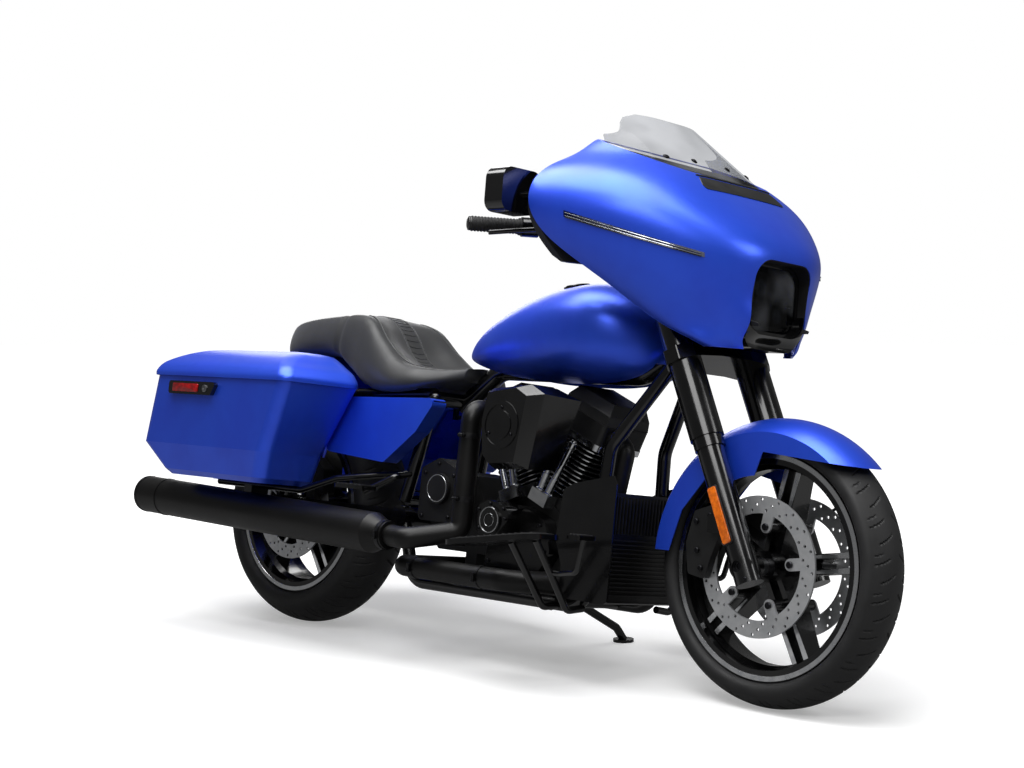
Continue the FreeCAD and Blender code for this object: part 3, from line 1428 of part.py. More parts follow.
def bag_lid():
    """The left bag's hollow lid."""
    cavity = bag_bulk(LID_LEVELS, BAG_WALL, -BAG_WALL)
    lid = bag_bulk(LID_LEVELS, 0.0).cut(cavity)
    lid.translate(Vector(0, 0, BAG_LID_GAP))
    return lid


def bag_latches():
    """The latch housing high on each bag's flank."""
    case = soft_prism(side_prism([(-150, 610), (40, 610), (62, 646), (-150, 646)], BAG_OUTER_Y - 3, BAG_OUTER_Y + 12), Y_AXIS, 8.0)
    case = case.cut(bag_bulk(BAG_LEVELS, -SEAT_GAP))
    return both(case)


def strut_point(z):
    """A point on the left strut between the seat rail and the swingarm's pivot."""
    low, high = Vector(PIVOT_X, CRADLE_HALF_W, PIVOT_Z + 42), Vector(562, RAIL_HALF_W, RAIL_Z - 12)
    return low + (high - low) * ((z - low.z) / (high.z - low.z))


def bag_rails():
    """The bent tubes that carry each bag from below, with the muffler's hanger."""
    z = BAG_FLOOR_Z - SEAT_GAP - BAG_RAIL_R
    route = [(-120, 268, z), (240, 268, z), (340, 232, 420), tuple(strut_point(452))]
    rail = bent_tube(route, BAG_RAIL_R, 40.0)
    hanger = block(60, 92, 262, MUFFLER_Y + 8, 340, z)
    peg = soft_prism(block(404, 512, 232, 304, 398, 408), Vector(0, 0, 1), 16.0)
    arm = bent_tube([tuple(strut_point(452)), (532, 196, 440), (462, 240, 392)], 9.0, 16.0)
    rail = joined([rail, hanger, arm, peg]).cut(frame_main())
    return both(rail.cut(muffler(1, MUFFLER_FRONT_X)))


def side_cover():
    """The blue panel between seat and gearbox, on the left side."""
    outline = [(252, 492), (268, 560), (330, 642), (668, 650), (600, 560), (488, 474)]
    panel = side_prism(outline, SIDE_COVER_Y - 50, SIDE_COVER_Y)
    panel = soft_prism(panel, Y_AXIS, 14.0)
    cavity = side_prism(outline, SIDE_COVER_Y - 90, SIDE_COVER_Y - SIDE_COVER_THICK)
    middle = Vector(460, SIDE_COVER_Y - SIDE_COVER_THICK, 562)
    cavity.translate(-middle)
    cavity.scale(0.94)
    cavity.translate(middle)
    return panel.cut(cavity)


def radiator_cowl():
    """The black box round the radiator, open in front."""
    outline = [
        (COWL_REAR_X, 330), (COWL_REAR_X + 12, COWL_TOP_Z - 44), (COWL_REAR_X + 44, COWL_TOP_Z - 26),
        (COWL_FRONT_X - 12, COWL_TOP_Z), (COWL_FRONT_X, COWL_TOP_Z - 20), (COWL_FRONT_X, COWL_BASE_Z + 6),
        (COWL_FRONT_X - 10, COWL_BASE_Z), (COWL_REAR_X + 28, COWL_BASE_Z), (COWL_REAR_X + 24, 270),
    ]
    body = side_prism(outline, -COWL_HALF_W, COWL_HALF_W)
    half = COWL_HALF_W - COWL_WALL
    body = body.cut(block(COWL_REAR_X - 50, COWL_FRONT_X + 50, -half, half, COWL_BASE_Z + COWL_WALL, COWL_TOP_Z + 50))
    body = body.cut(block(COWL_REAR_X - 50, COWL_REAR_X + 62, -half, half, COWL_BASE_Z - 5, COWL_TOP_Z))
    for side in (-1, 1):
        body = body.cut(cradle_loop(side, SEAT_GAP))
    return body


def radiator():
    """The finned core between the cowl's walls."""
    half = COWL_HALF_W - COWL_WALL - SEAT_GAP
    front = COWL_FRONT_X - 2
    core = block(front - 52, front - 10, -half, half, COWL_BASE_Z + COWL_WALL + SEAT_GAP, COWL_TOP_Z - 40)
    fins = [core]
    z = COWL_BASE_Z + 20
    while z < 346:
        fins.append(block(front - 11, front, -half + 4, half - 4, z, z + 3))
        z += 10
    y = -half + 8
    while y < half - 8:
        fins.append(block(front - 11, front, y, y + 3, 356, COWL_TOP_Z - 48))
        y += 12
    return joined(fins)


def footboards():
    """Rubber-topped boards on both sides, with their arms."""
    board = block(0, BOARD_LENGTH, 0, BOARD_WIDTH, 0, BOARD_THICK)
    board = soft_prism(board, Vector(0, 0, 1), 34.0)
    board.rotate(ORIGIN, Y_AXIS, -BOARD_TILT_DEG)
    board.translate(Vector(BOARD_REAR_X, BOARD_INNER_Y, BOARD_Z))
    parts = [board]
    rise = math.tan(math.radians(BOARD_TILT_DEG))
    for x in (1090, 1168):
        board_z = BOARD_Z + (x - BOARD_REAR_X) * rise
        route = [(x, CRADLE_HALF_W + 12, CRADLE_Z - 2), (x, 196, 164), (x, BOARD_INNER_Y + 34, board_z + 3)]
        parts.append(bent_tube(route, 9.0, 24.0))
    parts.append(bent_tube([(1168, 262, 252), (1196, 262, 252), (1262, 280, 262), (1280, 286, 344)], 7.0, 16.0))
    parts.append(soft_prism(block(1262, 1300, 264, 330, 338, 348), Vector(0, 0, 1), 8.0))
    boards = joined(parts).cut(cradle_loop(1, 0.0))
    return both(boards)


def tail_lamp():
    """The lamp on the rear fender's tail."""
    lamp = soft_prism(block(-388, -320, -66, 66, 556, 606), Vector(1, 0, 0), 14.0)
    return lamp.cut(rear_fender_bulk(SEAT_GAP))


def plate_bracket():
    """The number plate's bracket: a blank plate with its two holes."""
    z = PLATE_Z
    stem = block(-402, -330, -24, 24, z + 8, z + 30)
    plate = soft_prism(block(-404, -401, -92, 92, z - 66, z + 66), Vector(1, 0, 0), 8.0)
    bracket = joined([stem, plate]).cut(rear_fender_bulk(SEAT_GAP))
    for side in (-1, 1):
        y = side * PLATE_HOLE_PITCH / 2
        bracket = bracket.cut(rod(Vector(-420, y, z), Vector(-390, y, z), PLATE_HOLE_R))
    return bracket





def side_stand():
    """The leg from its pivot to a flat foot on the ground."""
    rest = rest_matrix()
    pivot = rest.multVec(Vector(*STAND_PIVOT))
    axis = rest.multVec(Vector(*STAND_PIVOT) + Vector(*STAND_AXIS).normalize()) - pivot
    ahead, aside = STAND_FOOT
    foot = Vector(pivot.x + ahead, pivot.y + aside, 0)
    knee = Vector(foot.x - 6, foot.y - 22, 40)
    leg = bent_tube([tuple(pivot), tuple(knee), tuple(foot + Vector(0, 0, 6))], STAND_TUBE_R, 26.0)
    pad = Part.makeCylinder(STAND_PAD_R, STAND_PAD_THICK, foot)
    boss = rod(pivot - axis * STAND_BOSS_HALF, pivot + axis * STAND_BOSS_HALF, STAND_BOSS_R)
    return joined([leg, pad, boss]).transformed(rest.inverse())


def steered_point(point):
    """Where a point of the front end lies at the resting steering angle."""
    turn = FreeCAD.Rotation(STEER_DIR, STEER_REST_DEG)
    return STEER_FOOT + turn.multVec(point - STEER_FOOT)


def tyre_height(matrix, centre, axle_end, tyre_r, crown_r):
    """How high the lowest point of a tyre lies once the machine is moved."""
    middle = matrix.multVec(centre)
    axle = (matrix.multVec(axle_end) - middle).normalize()
    return middle.z - (tyre_r - crown_r) * math.sqrt(1 - axle.z**2) - crown_r


def rest_matrix():
    """Leans the upright drawing onto the side stand, with both tyres on the ground."""
    front = (steered_point(FRONT_AXLE), steered_point(FRONT_AXLE + Y_AXIS), FRONT_TYRE_R, FRONT_CROWN_R)
    rear = (REAR_AXLE, REAR_AXLE + Y_AXIS, REAR_TYRE_R, REAR_CROWN_R)
    matrix = Matrix()
    matrix.rotateX(-math.radians(LEAN_DEG))
    matrix.rotateY(math.atan2(tyre_height(matrix, *front) - tyre_height(matrix, *rear), WHEELBASE))
    matrix.move(Vector(-MIDDLE_X, -MIDDLE_Y, -tyre_height(matrix, *rear)))
    return matrix


def placed(shape, steered):
    """The piece as it rests: steered if it turns with the bars, then leaned and centred."""
    shape = shape.copy()
    if steered:
        shape.rotate(STEER_FOOT, STEER_DIR, STEER_REST_DEG)
    return shape.transformed(rest_matrix())


def front_wheel_casting():
    hub_half = FRONT_DISC_Y - 16
    faces = []
    for side in (-1, 1):
        near, far = side * 20, side * (FRONT_DISC_Y - DISC_THICK / 2)
        faces.append((FRONT_DISC_R, max(near, far), min(near, far)))
    return wheel_casting(FRONT_AXLE, FRONT_LIP_R, FRONT_RIM_W, hub_half, faces)


def rear_wheel_casting():
    """The rear wheel, with a post ring for its single disc on the right."""
    far = -(REAR_DISC_Y - DISC_THICK / 2)
    return wheel_casting(REAR_AXLE, REAR_LIP_R, REAR_RIM_W, REAR_DISC_Y - 4, [(REAR_DISC_R, -20, far)])


def front_discs():
    return both(brake_disc(FRONT_AXLE, FRONT_DISC_R, FRONT_DISC_Y))


def rear_disc():
    return brake_disc(REAR_AXLE, REAR_DISC_R, -REAR_DISC_Y)


CHASSIS = {
    "frame_main": frame_main,
    "frame_cradle": frame_cradle,
    "swingarm": swingarm,
    "shocks": shocks,
    "rear_axle": rear_axle,
    "drive_belt": drive_belt,
    "front_pulley": belt_pulleys,
    "rear_caliper": rear_caliper,
    "engine_case": engine_case,
    "engine_covers": engine_covers,
    "cylinders": cylinders,
    "cylinder_heads": cylinder_heads,
    "lifter_blocks": lifter_blocks,
    "air_cleaner": air_cleaner,
    "headers": headers,
    "mufflers": mufflers,
    "fuel_tank": fuel_tank,
    "seat": seat,
    "rear_fender": rear_fender,
    "saddlebags": lambda: both(saddlebag()),
    "bag_lid_left": bag_lid,
    "bag_lid_right": lambda: mirrored(bag_lid()),
    "bag_latches": bag_latches,
    "bag_rails": bag_rails,
    "side_covers": lambda: both(side_cover()),
    "radiator_cowl": radiator_cowl,
    "radiator": radiator,
    "footboards": footboards,
    "tail_lamp": tail_lamp,
    "plate_bracket": plate_bracket,
    "side_stand": side_stand,
    "rear_rim": rear_wheel_casting,
    "rear_tyre": lambda: tyre(REAR_AXLE, REAR_TYRE_R, REAR_TYRE_W, REAR_CROWN_R, REAR_LIP_R, REAR_RIM_W),
    "rear_disc": rear_disc,
    "rear_pulley": rear_pulley,
}
STEERED = {
    "front_rim": front_wheel_casting,
    "front_tyre": lambda: tyre(FRONT_AXLE, FRONT_TYRE_R, FRONT_TYRE_W, FRONT_CROWN_R, FRONT_LIP_R, FRONT_RIM_W),
    "front_discs": front_discs,
    "front_axle": front_axle,
    "fork_legs": fork_legs,
    "fork_clamps": fork_clamps,
    "front_calipers": front_calipers,
    "front_fender": front_fender,
    "fairing_bracket": fairing_bracket,
    "fairing_shell": fairing_shell,
    "fairing_vent": fairing_vent,
    "inner_fairing": inner_fairing,
    "windscreen": windscreen,
    "headlamp": headlamp,
    "chin_trim": chin_trim,
    "turn_strips": turn_strips,
    "handlebar": handlebar,
    "grips": grips,
    "levers": levers,
    "mirrors": mirrors,
}


def main():
    os.makedirs("parts", exist_ok=True)
    for pieces, steered in ((CHASSIS, False), (STEERED, True)):
        for name, make in pieces.items():
            placed(make(), steered).exportStep(f"parts/{name}.step")


main()
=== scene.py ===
"""Looks of a touring cruiser motorcycle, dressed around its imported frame.

Everything is drawn in millimetres with the machine upright: x runs forward from the rear axle, y to the left
and z up from the ground. Stance turns a piece with the bars and leans it onto the side stand, in metres.
"""

from __future__ import annotations

import logging
import math
from collections.abc import Iterable, Sequence
from dataclasses import dataclass
from enum import Enum

import bmesh
import bpy
from mathutils import Matrix, Vector
from mathutils.bvhtree import BVHTree

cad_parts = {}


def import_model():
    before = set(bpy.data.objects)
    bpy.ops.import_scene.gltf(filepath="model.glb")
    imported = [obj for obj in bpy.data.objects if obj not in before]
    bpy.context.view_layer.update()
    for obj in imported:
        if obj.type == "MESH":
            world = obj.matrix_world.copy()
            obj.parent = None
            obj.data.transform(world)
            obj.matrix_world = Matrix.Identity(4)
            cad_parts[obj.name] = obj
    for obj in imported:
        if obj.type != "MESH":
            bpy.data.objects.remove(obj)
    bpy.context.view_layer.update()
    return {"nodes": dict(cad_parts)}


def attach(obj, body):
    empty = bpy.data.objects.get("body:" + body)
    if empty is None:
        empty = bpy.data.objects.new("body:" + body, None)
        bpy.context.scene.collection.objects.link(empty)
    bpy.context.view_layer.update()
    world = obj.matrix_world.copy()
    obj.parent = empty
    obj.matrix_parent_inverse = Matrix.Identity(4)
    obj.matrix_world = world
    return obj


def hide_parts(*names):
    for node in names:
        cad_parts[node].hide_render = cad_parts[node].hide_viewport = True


LOG = logging.getLogger("cruiser")
MM = 0.001
FULL_TURN = 2 * math.pi
UP = Vector((0, 0, 1))
LEFT = Vector((0, 1, 0))
AHEAD = Vector((1, 0, 0))
Point = Vector | Sequence[float]
Pair = tuple[float, float]
Triple = tuple[float, float, float]
Tree = bpy.types.NodeTree
Socket = bpy.types.NodeSocket


# Where the pieces stand


@dataclass(frozen=True)
class Stance:
    """How the upright drawing comes to rest: bars turned, machine leaned over, box centred."""

    lean_deg: float = 8.0
    pitch_rad: float = -0.000312312
    rise: float = 1.089992
    middle_x: float = 770.0
    middle_y: float = 136.5
    rake_deg: float = 26.0
    steer_foot_x: float = 1795.0
    steer_deg: float = -3.0

    def steer_axis(self) -> Vector:
        """The steering head's direction."""
        rake = math.radians(self.rake_deg)
        return Vector((-math.sin(rake), 0, math.cos(rake)))

    def matrix(self, steered: bool) -> Matrix:
        """The move from the upright drawing to where the part stands at rest.

        Args:
            steered: whether the piece turns with the bars.

        Returns:
            A matrix from millimetres, upright, to metres, at rest.
        """
        turn = Matrix.Identity(4)
        if steered:
            foot = Matrix.Translation((self.steer_foot_x, 0, 0))
            turn = foot @ Matrix.Rotation(math.radians(self.steer_deg), 4, self.steer_axis()) @ foot.inverted()
        lean = Matrix.Rotation(-math.radians(self.lean_deg), 4, "X")
        pitch = Matrix.Rotation(self.pitch_rad, 4, "Y")
        move = Matrix.Translation((-self.middle_x, -self.middle_y, self.rise))
        return Matrix.Scale(MM, 4) @ move @ pitch @ lean @ turn


STANCE = Stance()


class Body(Enum):
    """The bodies of the frame that pieces ride on."""

    CHASSIS = "chassis"
    STEERING = "steering"
    FRONT_WHEEL = "front_wheel"
    REAR_WHEEL = "rear_wheel"
    LID_LEFT = "bag_lid_left"
    LID_RIGHT = "bag_lid_right"

    def steered(self) -> bool:
        """Whether this body turns with the bars."""
        return self in (Body.STEERING, Body.FRONT_WHEEL)


# Finishes


def linear(hex_colour: str) -> tuple[float, float, float, float]:
    """Turns an sRGB hex colour into the linear one that shaders take.

    Args:
        hex_colour: six hex digits after a hash.

    Returns:
        Red, green, blue and a full alpha, linear.
    """
    values = [int(hex_colour[i : i + 2], 16) / 255 for i in (1, 3, 5)]
    r, g, b = (v / 12.92 if v <= 0.04045 else ((v + 0.055) / 1.055) ** 2.4 for v in values)
    return r, g, b, 1.0


def add_node(tree: Tree, kind: str, inputs: dict | None = None, **settings: object) -> bpy.types.Node:
    """Adds a shader node with its settings, values and links.

    Args:
        tree: the node tree that gets it.
        kind: the node's type name.
        inputs: a value or a linked socket for each input, by name or number.
        settings: the node's own properties.

    Returns:
        The new node.
    """
    node = tree.nodes.new(kind)
    for name, value in settings.items():
        setattr(node, name, value)
    for key, value in (inputs or {}).items():
        if isinstance(value, Socket):
            tree.links.new(value, node.inputs[key])
        else:
            node.inputs[key].default_value = value
    return node


def maths(tree: Tree, operation: str, *values: float | Socket) -> Socket:
    """Works out one sum in a shader.

    Args:
        tree: the node tree that gets it.
        operation: what is done to the values.
        values: numbers or sockets, in order.

    Returns:
        The socket with the result.
    """
    return add_node(tree, "ShaderNodeMath", dict(enumerate(values)), operation=operation).outputs[0]


def spread(tree: Tree, value: Socket, source: Pair, target: Pair, curve: str = "LINEAR") -> Socket:
    """Moves a value from one range to another.

    Args:
        tree: the node tree that gets it.
        value: the socket with the value.
        source: the two ends that it comes from.
        target: the two ends that they become.
        curve: how it runs between them.

    Returns:
        The socket with the new value.
    """
    inputs = dict(zip(("From Min", "From Max", "To Min", "To Max", "Value"), (*source, *target, value)))
    return add_node(tree, "ShaderNodeMapRange", inputs, interpolation_type=curve).outputs["Result"]


class Grain(Enum):
    """The fine pattern that a surface's making leaves on it."""

    SPECKLE = "speckle"
    BRUSHED = "brushed"
    HIDE = "hide"


@dataclass(frozen=True)
class Finish:
    """One real material, from its common name, colour and gloss to its fine texture, sizes in millimetres."""

    name: str
    colour: str
    tint: str
    slot: str
    roughness: float = 0.5
    roughness_swing: float = 0.06
    metallic: float = 0.0
    coat: float = 0.0
    coat_roughness: float = 0.1
    sheen: float = 0.0
    ior: float = 1.5
    patch_mm: float = 60.0
    grain: Grain = Grain.SPECKLE
    grain_mm: float = 1.2
    grain_depth_mm: float = 0.05
    see_through: float = 0.0

    def make(self) -> bpy.types.Material:
        """The material for this finish, made once.

        Returns:
            The material, with its colour variation, roughness and bump as nodes.
        """
        known = bpy.data.materials.get(self.name)
        if known:
            return known
        material = bpy.data.materials.new(self.name)
        material.use_nodes = True
        material.diffuse_color = linear(self.colour)
        tree = material.node_tree
        tree.nodes.clear()
        place = add_node(tree, "ShaderNodeTexCoord").outputs["Object"]
        patch = self.noise(tree, place, self.patch_mm, 3.0)
        share = spread(tree, patch, (0.38, 0.62), (0, 1))
        both = {"Factor": share, 6: linear(self.colour), 7: linear(self.tint)}
        gloss = (max(0.0, self.roughness - self.roughness_swing), self.roughness + self.roughness_swing)
        grain = self.grain_height(tree, place)
        height = {"Strength": 1.0, "Distance": self.grain_depth_mm * MM, "Height": grain}
        sockets = {
            "Base Color": add_node(tree, "ShaderNodeMix", both, data_type="RGBA").outputs[2],
            "Roughness": spread(tree, patch, (0.3, 0.7), gloss),
            "Normal": add_node(tree, "ShaderNodeBump", height).outputs["Normal"],
            "Metallic": self.metallic,
            "IOR": self.ior,
            "Coat Weight": self.coat,
            "Coat Roughness": self.coat_roughness,
            "Sheen Weight": self.sheen,
        }
        shader = add_node(tree, "ShaderNodeBsdfPrincipled", sockets).outputs["BSDF"]
        if self.see_through:
            clear = add_node(tree, "ShaderNodeBsdfTransparent", {"Color": linear(self.tint)}).outputs["BSDF"]
            layers = {0: self.see_through, 1: shader, 2: clear}
            shader = add_node(tree, "ShaderNodeMixShader", layers).outputs[0]
        add_node(tree, "ShaderNodeOutputMaterial", {"Surface": shader})
        return material

    def noise(self, tree: Tree, place: Socket, size_mm: float, detail: float) -> Socket:
        """Soft random patches of a real size.

        Args:
            tree: the material's node tree.
            place: the socket with the surface's place in metres.
            size_mm: the patches' size.
            detail: how many finer layers they have.

        Returns:
            The socket with the patches, from 0 to 1.
        """
        scale = {"Vector": place, "Scale": 1 / (size_mm * MM), "Detail": detail}
        return add_node(tree, "ShaderNodeTexNoise", scale).outputs["Fac"]

    def grain_height(self, tree: Tree, place: Socket) -> Socket:
        """The height of the fine pattern, from 0 to 1.

        Args:
            tree: the material's node tree.
            place: the socket with the surface's place in metres.

        Returns:
            The socket that carries the height.
        """
        if self.grain is Grain.HIDE:
            scale = {"Vector": place, "Scale": 1 / (self.grain_mm * MM)}
            return add_node(tree, "ShaderNodeTexVoronoi", scale, feature="SMOOTH_F1").outputs["Distance"]
        if self.grain is Grain.BRUSHED:
            drawn_out = {0: place, 1: (0.05, 1.0, 1.0)}
            place = add_node(tree, "ShaderNodeVectorMath", drawn_out, operation="MULTIPLY").outputs[0]
        return self.noise(tree, place, self.grain_mm, 4.0)


# Satin two-stage paint over steel and moulded panels: deep blue pigment under a soft clear coat, so light
# spreads into wide pale bands with no sharp reflections.
SATIN_BLUE = Finish("satin_blue_paint", "#2458F4", "#204FE8", "paint_blue", roughness=0.38, metallic=0.62,
                    coat=0.6, coat_roughness=0.34, patch_mm=160, grain_mm=0.9, grain_depth_mm=0.01)
# Gloss black stove enamel on tubes, covers and the fork: nearly black, with clear narrow highlights.
GLOSS_ENAMEL = Finish("gloss_black_enamel", "#030304", "#060607", "gloss_black", roughness=0.2, coat=0.3,
                      coat_roughness=0.06, patch_mm=80, grain_mm=2.5, grain_depth_mm=0.02)
# Powder coat on aluminium castings: black with a fine pebble that breaks the highlights.
POWDER_COAT = Finish("black_powder_coat", "#040405", "#080809", "engine_black", roughness=0.5,
                     grain_mm=0.8, grain_depth_mm=0.09, patch_mm=50)
# High-temperature ceramic coat sprayed on the exhaust: dull black, a little warmer where it gets hot.
CERAMIC_COAT = Finish("satin_black_ceramic_coat", "#040404", "#080707", "exhaust_black", roughness=0.42,
                      roughness_swing=0.05, ior=1.38, patch_mm=120, grain_mm=0.7, grain_depth_mm=0.03)
# Bare aluminium cut on a lathe or mill: bright, with fine tool lines.
CUT_ALUMINIUM = Finish("machined_aluminium", "#D9DADC", "#C6C8CB", "aluminium", roughness=0.22, metallic=1.0,
                       grain=Grain.BRUSHED, grain_mm=0.6, grain_depth_mm=0.02, patch_mm=25)
# Stainless steel of the brake discs, ground flat: pale grey, with the grinder's fine lines.
GROUND_STEEL = Finish("ground_stainless_steel", "#D6D7D9", "#C4C6C8", "steel", roughness=0.34, metallic=0.75,
                      grain=Grain.BRUSHED, grain_mm=0.9, grain_depth_mm=0.03, patch_mm=30)
# Zinc-plated fasteners: dull grey metal.
PLATED_STEEL = Finish("zinc_plated_steel", "#8F9093", "#77787B", "steel", roughness=0.35, metallic=1.0,
                      grain_mm=1.5, grain_depth_mm=0.02, patch_mm=12)
# Black-oxide screws: dark metal with an oily gloss.
BLACK_OXIDE = Finish("black_oxide_steel", "#1B1B1D", "#26262A", "engine_black", roughness=0.33, metallic=0.8,
                     grain_mm=1.0, grain_depth_mm=0.02, patch_mm=10)
# Vulcanised tyre rubber, new: charcoal, dull, with a faint bloom.
TYRE_RUBBER = Finish("vulcanised_rubber", "#141415", "#1C1C1D", "tyre_rubber", roughness=0.62,
                     roughness_swing=0.08, patch_mm=45, grain_mm=1.1, grain_depth_mm=0.06)
# Moulded rubber of grips, pads and hoses: softer and blacker than the tyre.
SOFT_RUBBER = Finish("moulded_rubber", "#0C0C0D", "#131314", "rubber", roughness=0.7, patch_mm=30,
                     grain_mm=0.8, grain_depth_mm=0.06)
# Coated vinyl over foam: charcoal, with a pebbled hide pattern that gives a soft broken shine.
GRAINED_VINYL = Finish("grained_vinyl", "#1F2022", "#191A1B", "leather_black", roughness=0.5, sheen=0.15,
                       patch_mm=70, grain=Grain.HIDE, grain_mm=1.6, grain_depth_mm=0.14)
# Moulded ABS with an etched texture: flat black.
TEXTURED_ABS = Finish("textured_black_abs", "#070708", "#0C0C0D", "plastic_black", roughness=0.55,
                      grain_mm=0.7, grain_depth_mm=0.08, patch_mm=50)
# Gloss moulded polycarbonate bezels: piano black.
GLOSS_PLASTIC = Finish("gloss_black_polycarbonate", "#030304", "#050506", "gloss_black", roughness=0.1,
                       coat=0.5, coat_roughness=0.03, patch_mm=60, grain_mm=3.0, grain_depth_mm=0.01)
# Smoked polycarbonate sheet: grey, see-through, with sharp reflections.
SMOKED_SHEET = Finish("smoked_polycarbonate", "#101113", "#DFE0E2", "smoked_glass", roughness=0.05,
                      roughness_swing=0.01, patch_mm=200, grain_mm=5.0, grain_depth_mm=0.0, see_through=0.9)
# Hard-coated clear polycarbonate over the lamp.
CLEAR_LENS = Finish("clear_polycarbonate", "#0C0D0F", "#C2C5CA", "lamp_glass", roughness=0.03,
                    roughness_swing=0.01, patch_mm=200, grain_mm=5.0, grain_depth_mm=0.0, see_through=0.8)
# Red acrylic lenses, moulded with fine prisms behind a smooth face.
RED_ACRYLIC = Finish("red_acrylic", "#A80E12", "#7A080B", "red_lens", roughness=0.1, coat=0.5,
                     coat_roughness=0.03, patch_mm=14, grain_mm=3.0, grain_depth_mm=0.2)
# Amber acrylic reflectors.
AMBER_ACRYLIC = Finish("amber_acrylic", "#E8730C", "#C85A06", "amber_lens", roughness=0.12, coat=0.5,
                       coat_roughness=0.04, patch_mm=9, grain_mm=2.5, grain_depth_mm=0.25)
# Silvered glass of the mirrors.
MIRROR_GLASS = Finish("silvered_glass", "#E6E8EA", "#E0E2E5", "steel", roughness=0.02, roughness_swing=0.01,
                      metallic=1.0, patch_mm=300, grain_mm=8.0, grain_depth_mm=0.0)
# Sewing thread of the seat: grey polyester.
THREAD = Finish("polyester_thread", "#6A6B6E", "#5C5D60", "leather_black", roughness=0.7, patch_mm=20,
                grain_mm=0.5, grain_depth_mm=0.05)
# Stainless clamps with a black finish that has dulled by heat.
PLATED_STEEL_DARK = Finish("blackened_steel", "#2A2A2C", "#363637", "steel", roughness=0.38, metallic=0.9,
                           grain_mm=1.2, grain_depth_mm=0.02, patch_mm=14)
# Frosted white acrylic over unlit light bars.
FROSTED_LIGHT = Finish("frosted_acrylic", "#C6CAD0", "#B4B8BE", "lamp_glass", roughness=0.4, patch_mm=20,
                       grain_mm=1.0, grain_depth_mm=0.02)
# Aluminised reflector bowls and projector rings inside the lamp.
LAMP_BOWL = Finish("aluminised_bowl", "#B9BCC1", "#9EA2A8", "aluminium", roughness=0.12, metallic=1.0,
                   patch_mm=20, grain_mm=2.0, grain_depth_mm=0.02)
# Reinforced rubber drive belt: flat black with cord lines.
BELT_RUBBER = Finish("corded_belt_rubber", "#161617", "#1E1E1F", "rubber", roughness=0.75, patch_mm=30,
                     grain=Grain.BRUSHED, grain_mm=1.4, grain_depth_mm=0.1)

FINISHED_NODES: tuple[tuple[Finish, tuple[str, ...]], ...] = (
    (SATIN_BLUE, ("fuel_tank", "rear_fender", "saddlebags", "bag_lid_left", "bag_lid_right", "side_covers",
                  "front_fender", "fairing_shell")),
    (GLOSS_ENAMEL, ("frame_main", "frame_cradle", "swingarm", "shocks", "rear_pulley", "engine_covers",
                    "air_cleaner", "bag_latches", "bag_rails", "radiator_cowl", "footboards", "side_stand",
                    "rear_rim", "front_rim", "fork_legs", "fork_clamps", "handlebar", "levers")),
    (POWDER_COAT, ("rear_caliper", "engine_case", "cylinders", "cylinder_heads", "radiator", "front_calipers",
                   "fairing_bracket")),
    (CERAMIC_COAT, ("headers", "mufflers")),
    (CUT_ALUMINIUM, ("lifter_blocks",)),
    (GROUND_STEEL, ("rear_disc", "front_discs")),
    (PLATED_STEEL, ("rear_axle", "front_axle", "front_pulley")),
    (TYRE_RUBBER, ("rear_tyre", "front_tyre")),
    (SOFT_RUBBER, ("grips",)),
    (BELT_RUBBER, ("drive_belt",)),
    (GRAINED_VINYL, ("seat",)),
    (TEXTURED_ABS, ("plate_bracket", "fairing_vent", "inner_fairing")),
    (GLOSS_PLASTIC, ("headlamp", "chin_trim", "mirrors")),
    (SMOKED_SHEET, ("windscreen",)),
    (CLEAR_LENS, ("turn_strips",)),
    (RED_ACRYLIC, ("tail_lamp",)),
)
SMOOTH_DEG = 32.0


def shade(obj: bpy.types.Object, angle_deg: float = SMOOTH_DEG) -> None:
    """Shades a mesh smooth up to an angle between faces, and sharp past it.

    Args:
        obj: the mesh object.
        angle_deg: the largest angle that stays smooth.
    """
    obj.data.polygons.foreach_set("use_smooth", [True] * len(obj.data.polygons))
    obj.data.set_sharp_from_angle(angle=math.radians(angle_deg))


def dress_nodes(nodes: dict[str, bpy.types.Object]) -> None:
    """Gives every node of the frame its finish and smooth shading.

    Args:
        nodes: the frame's objects by name.
    """
    for finish, names in FINISHED_NODES:
        for name in names:
            nodes[name].data.materials.clear()
            nodes[name].data.materials.append(finish.make())
            shade(nodes[name])


# Drawing meshes


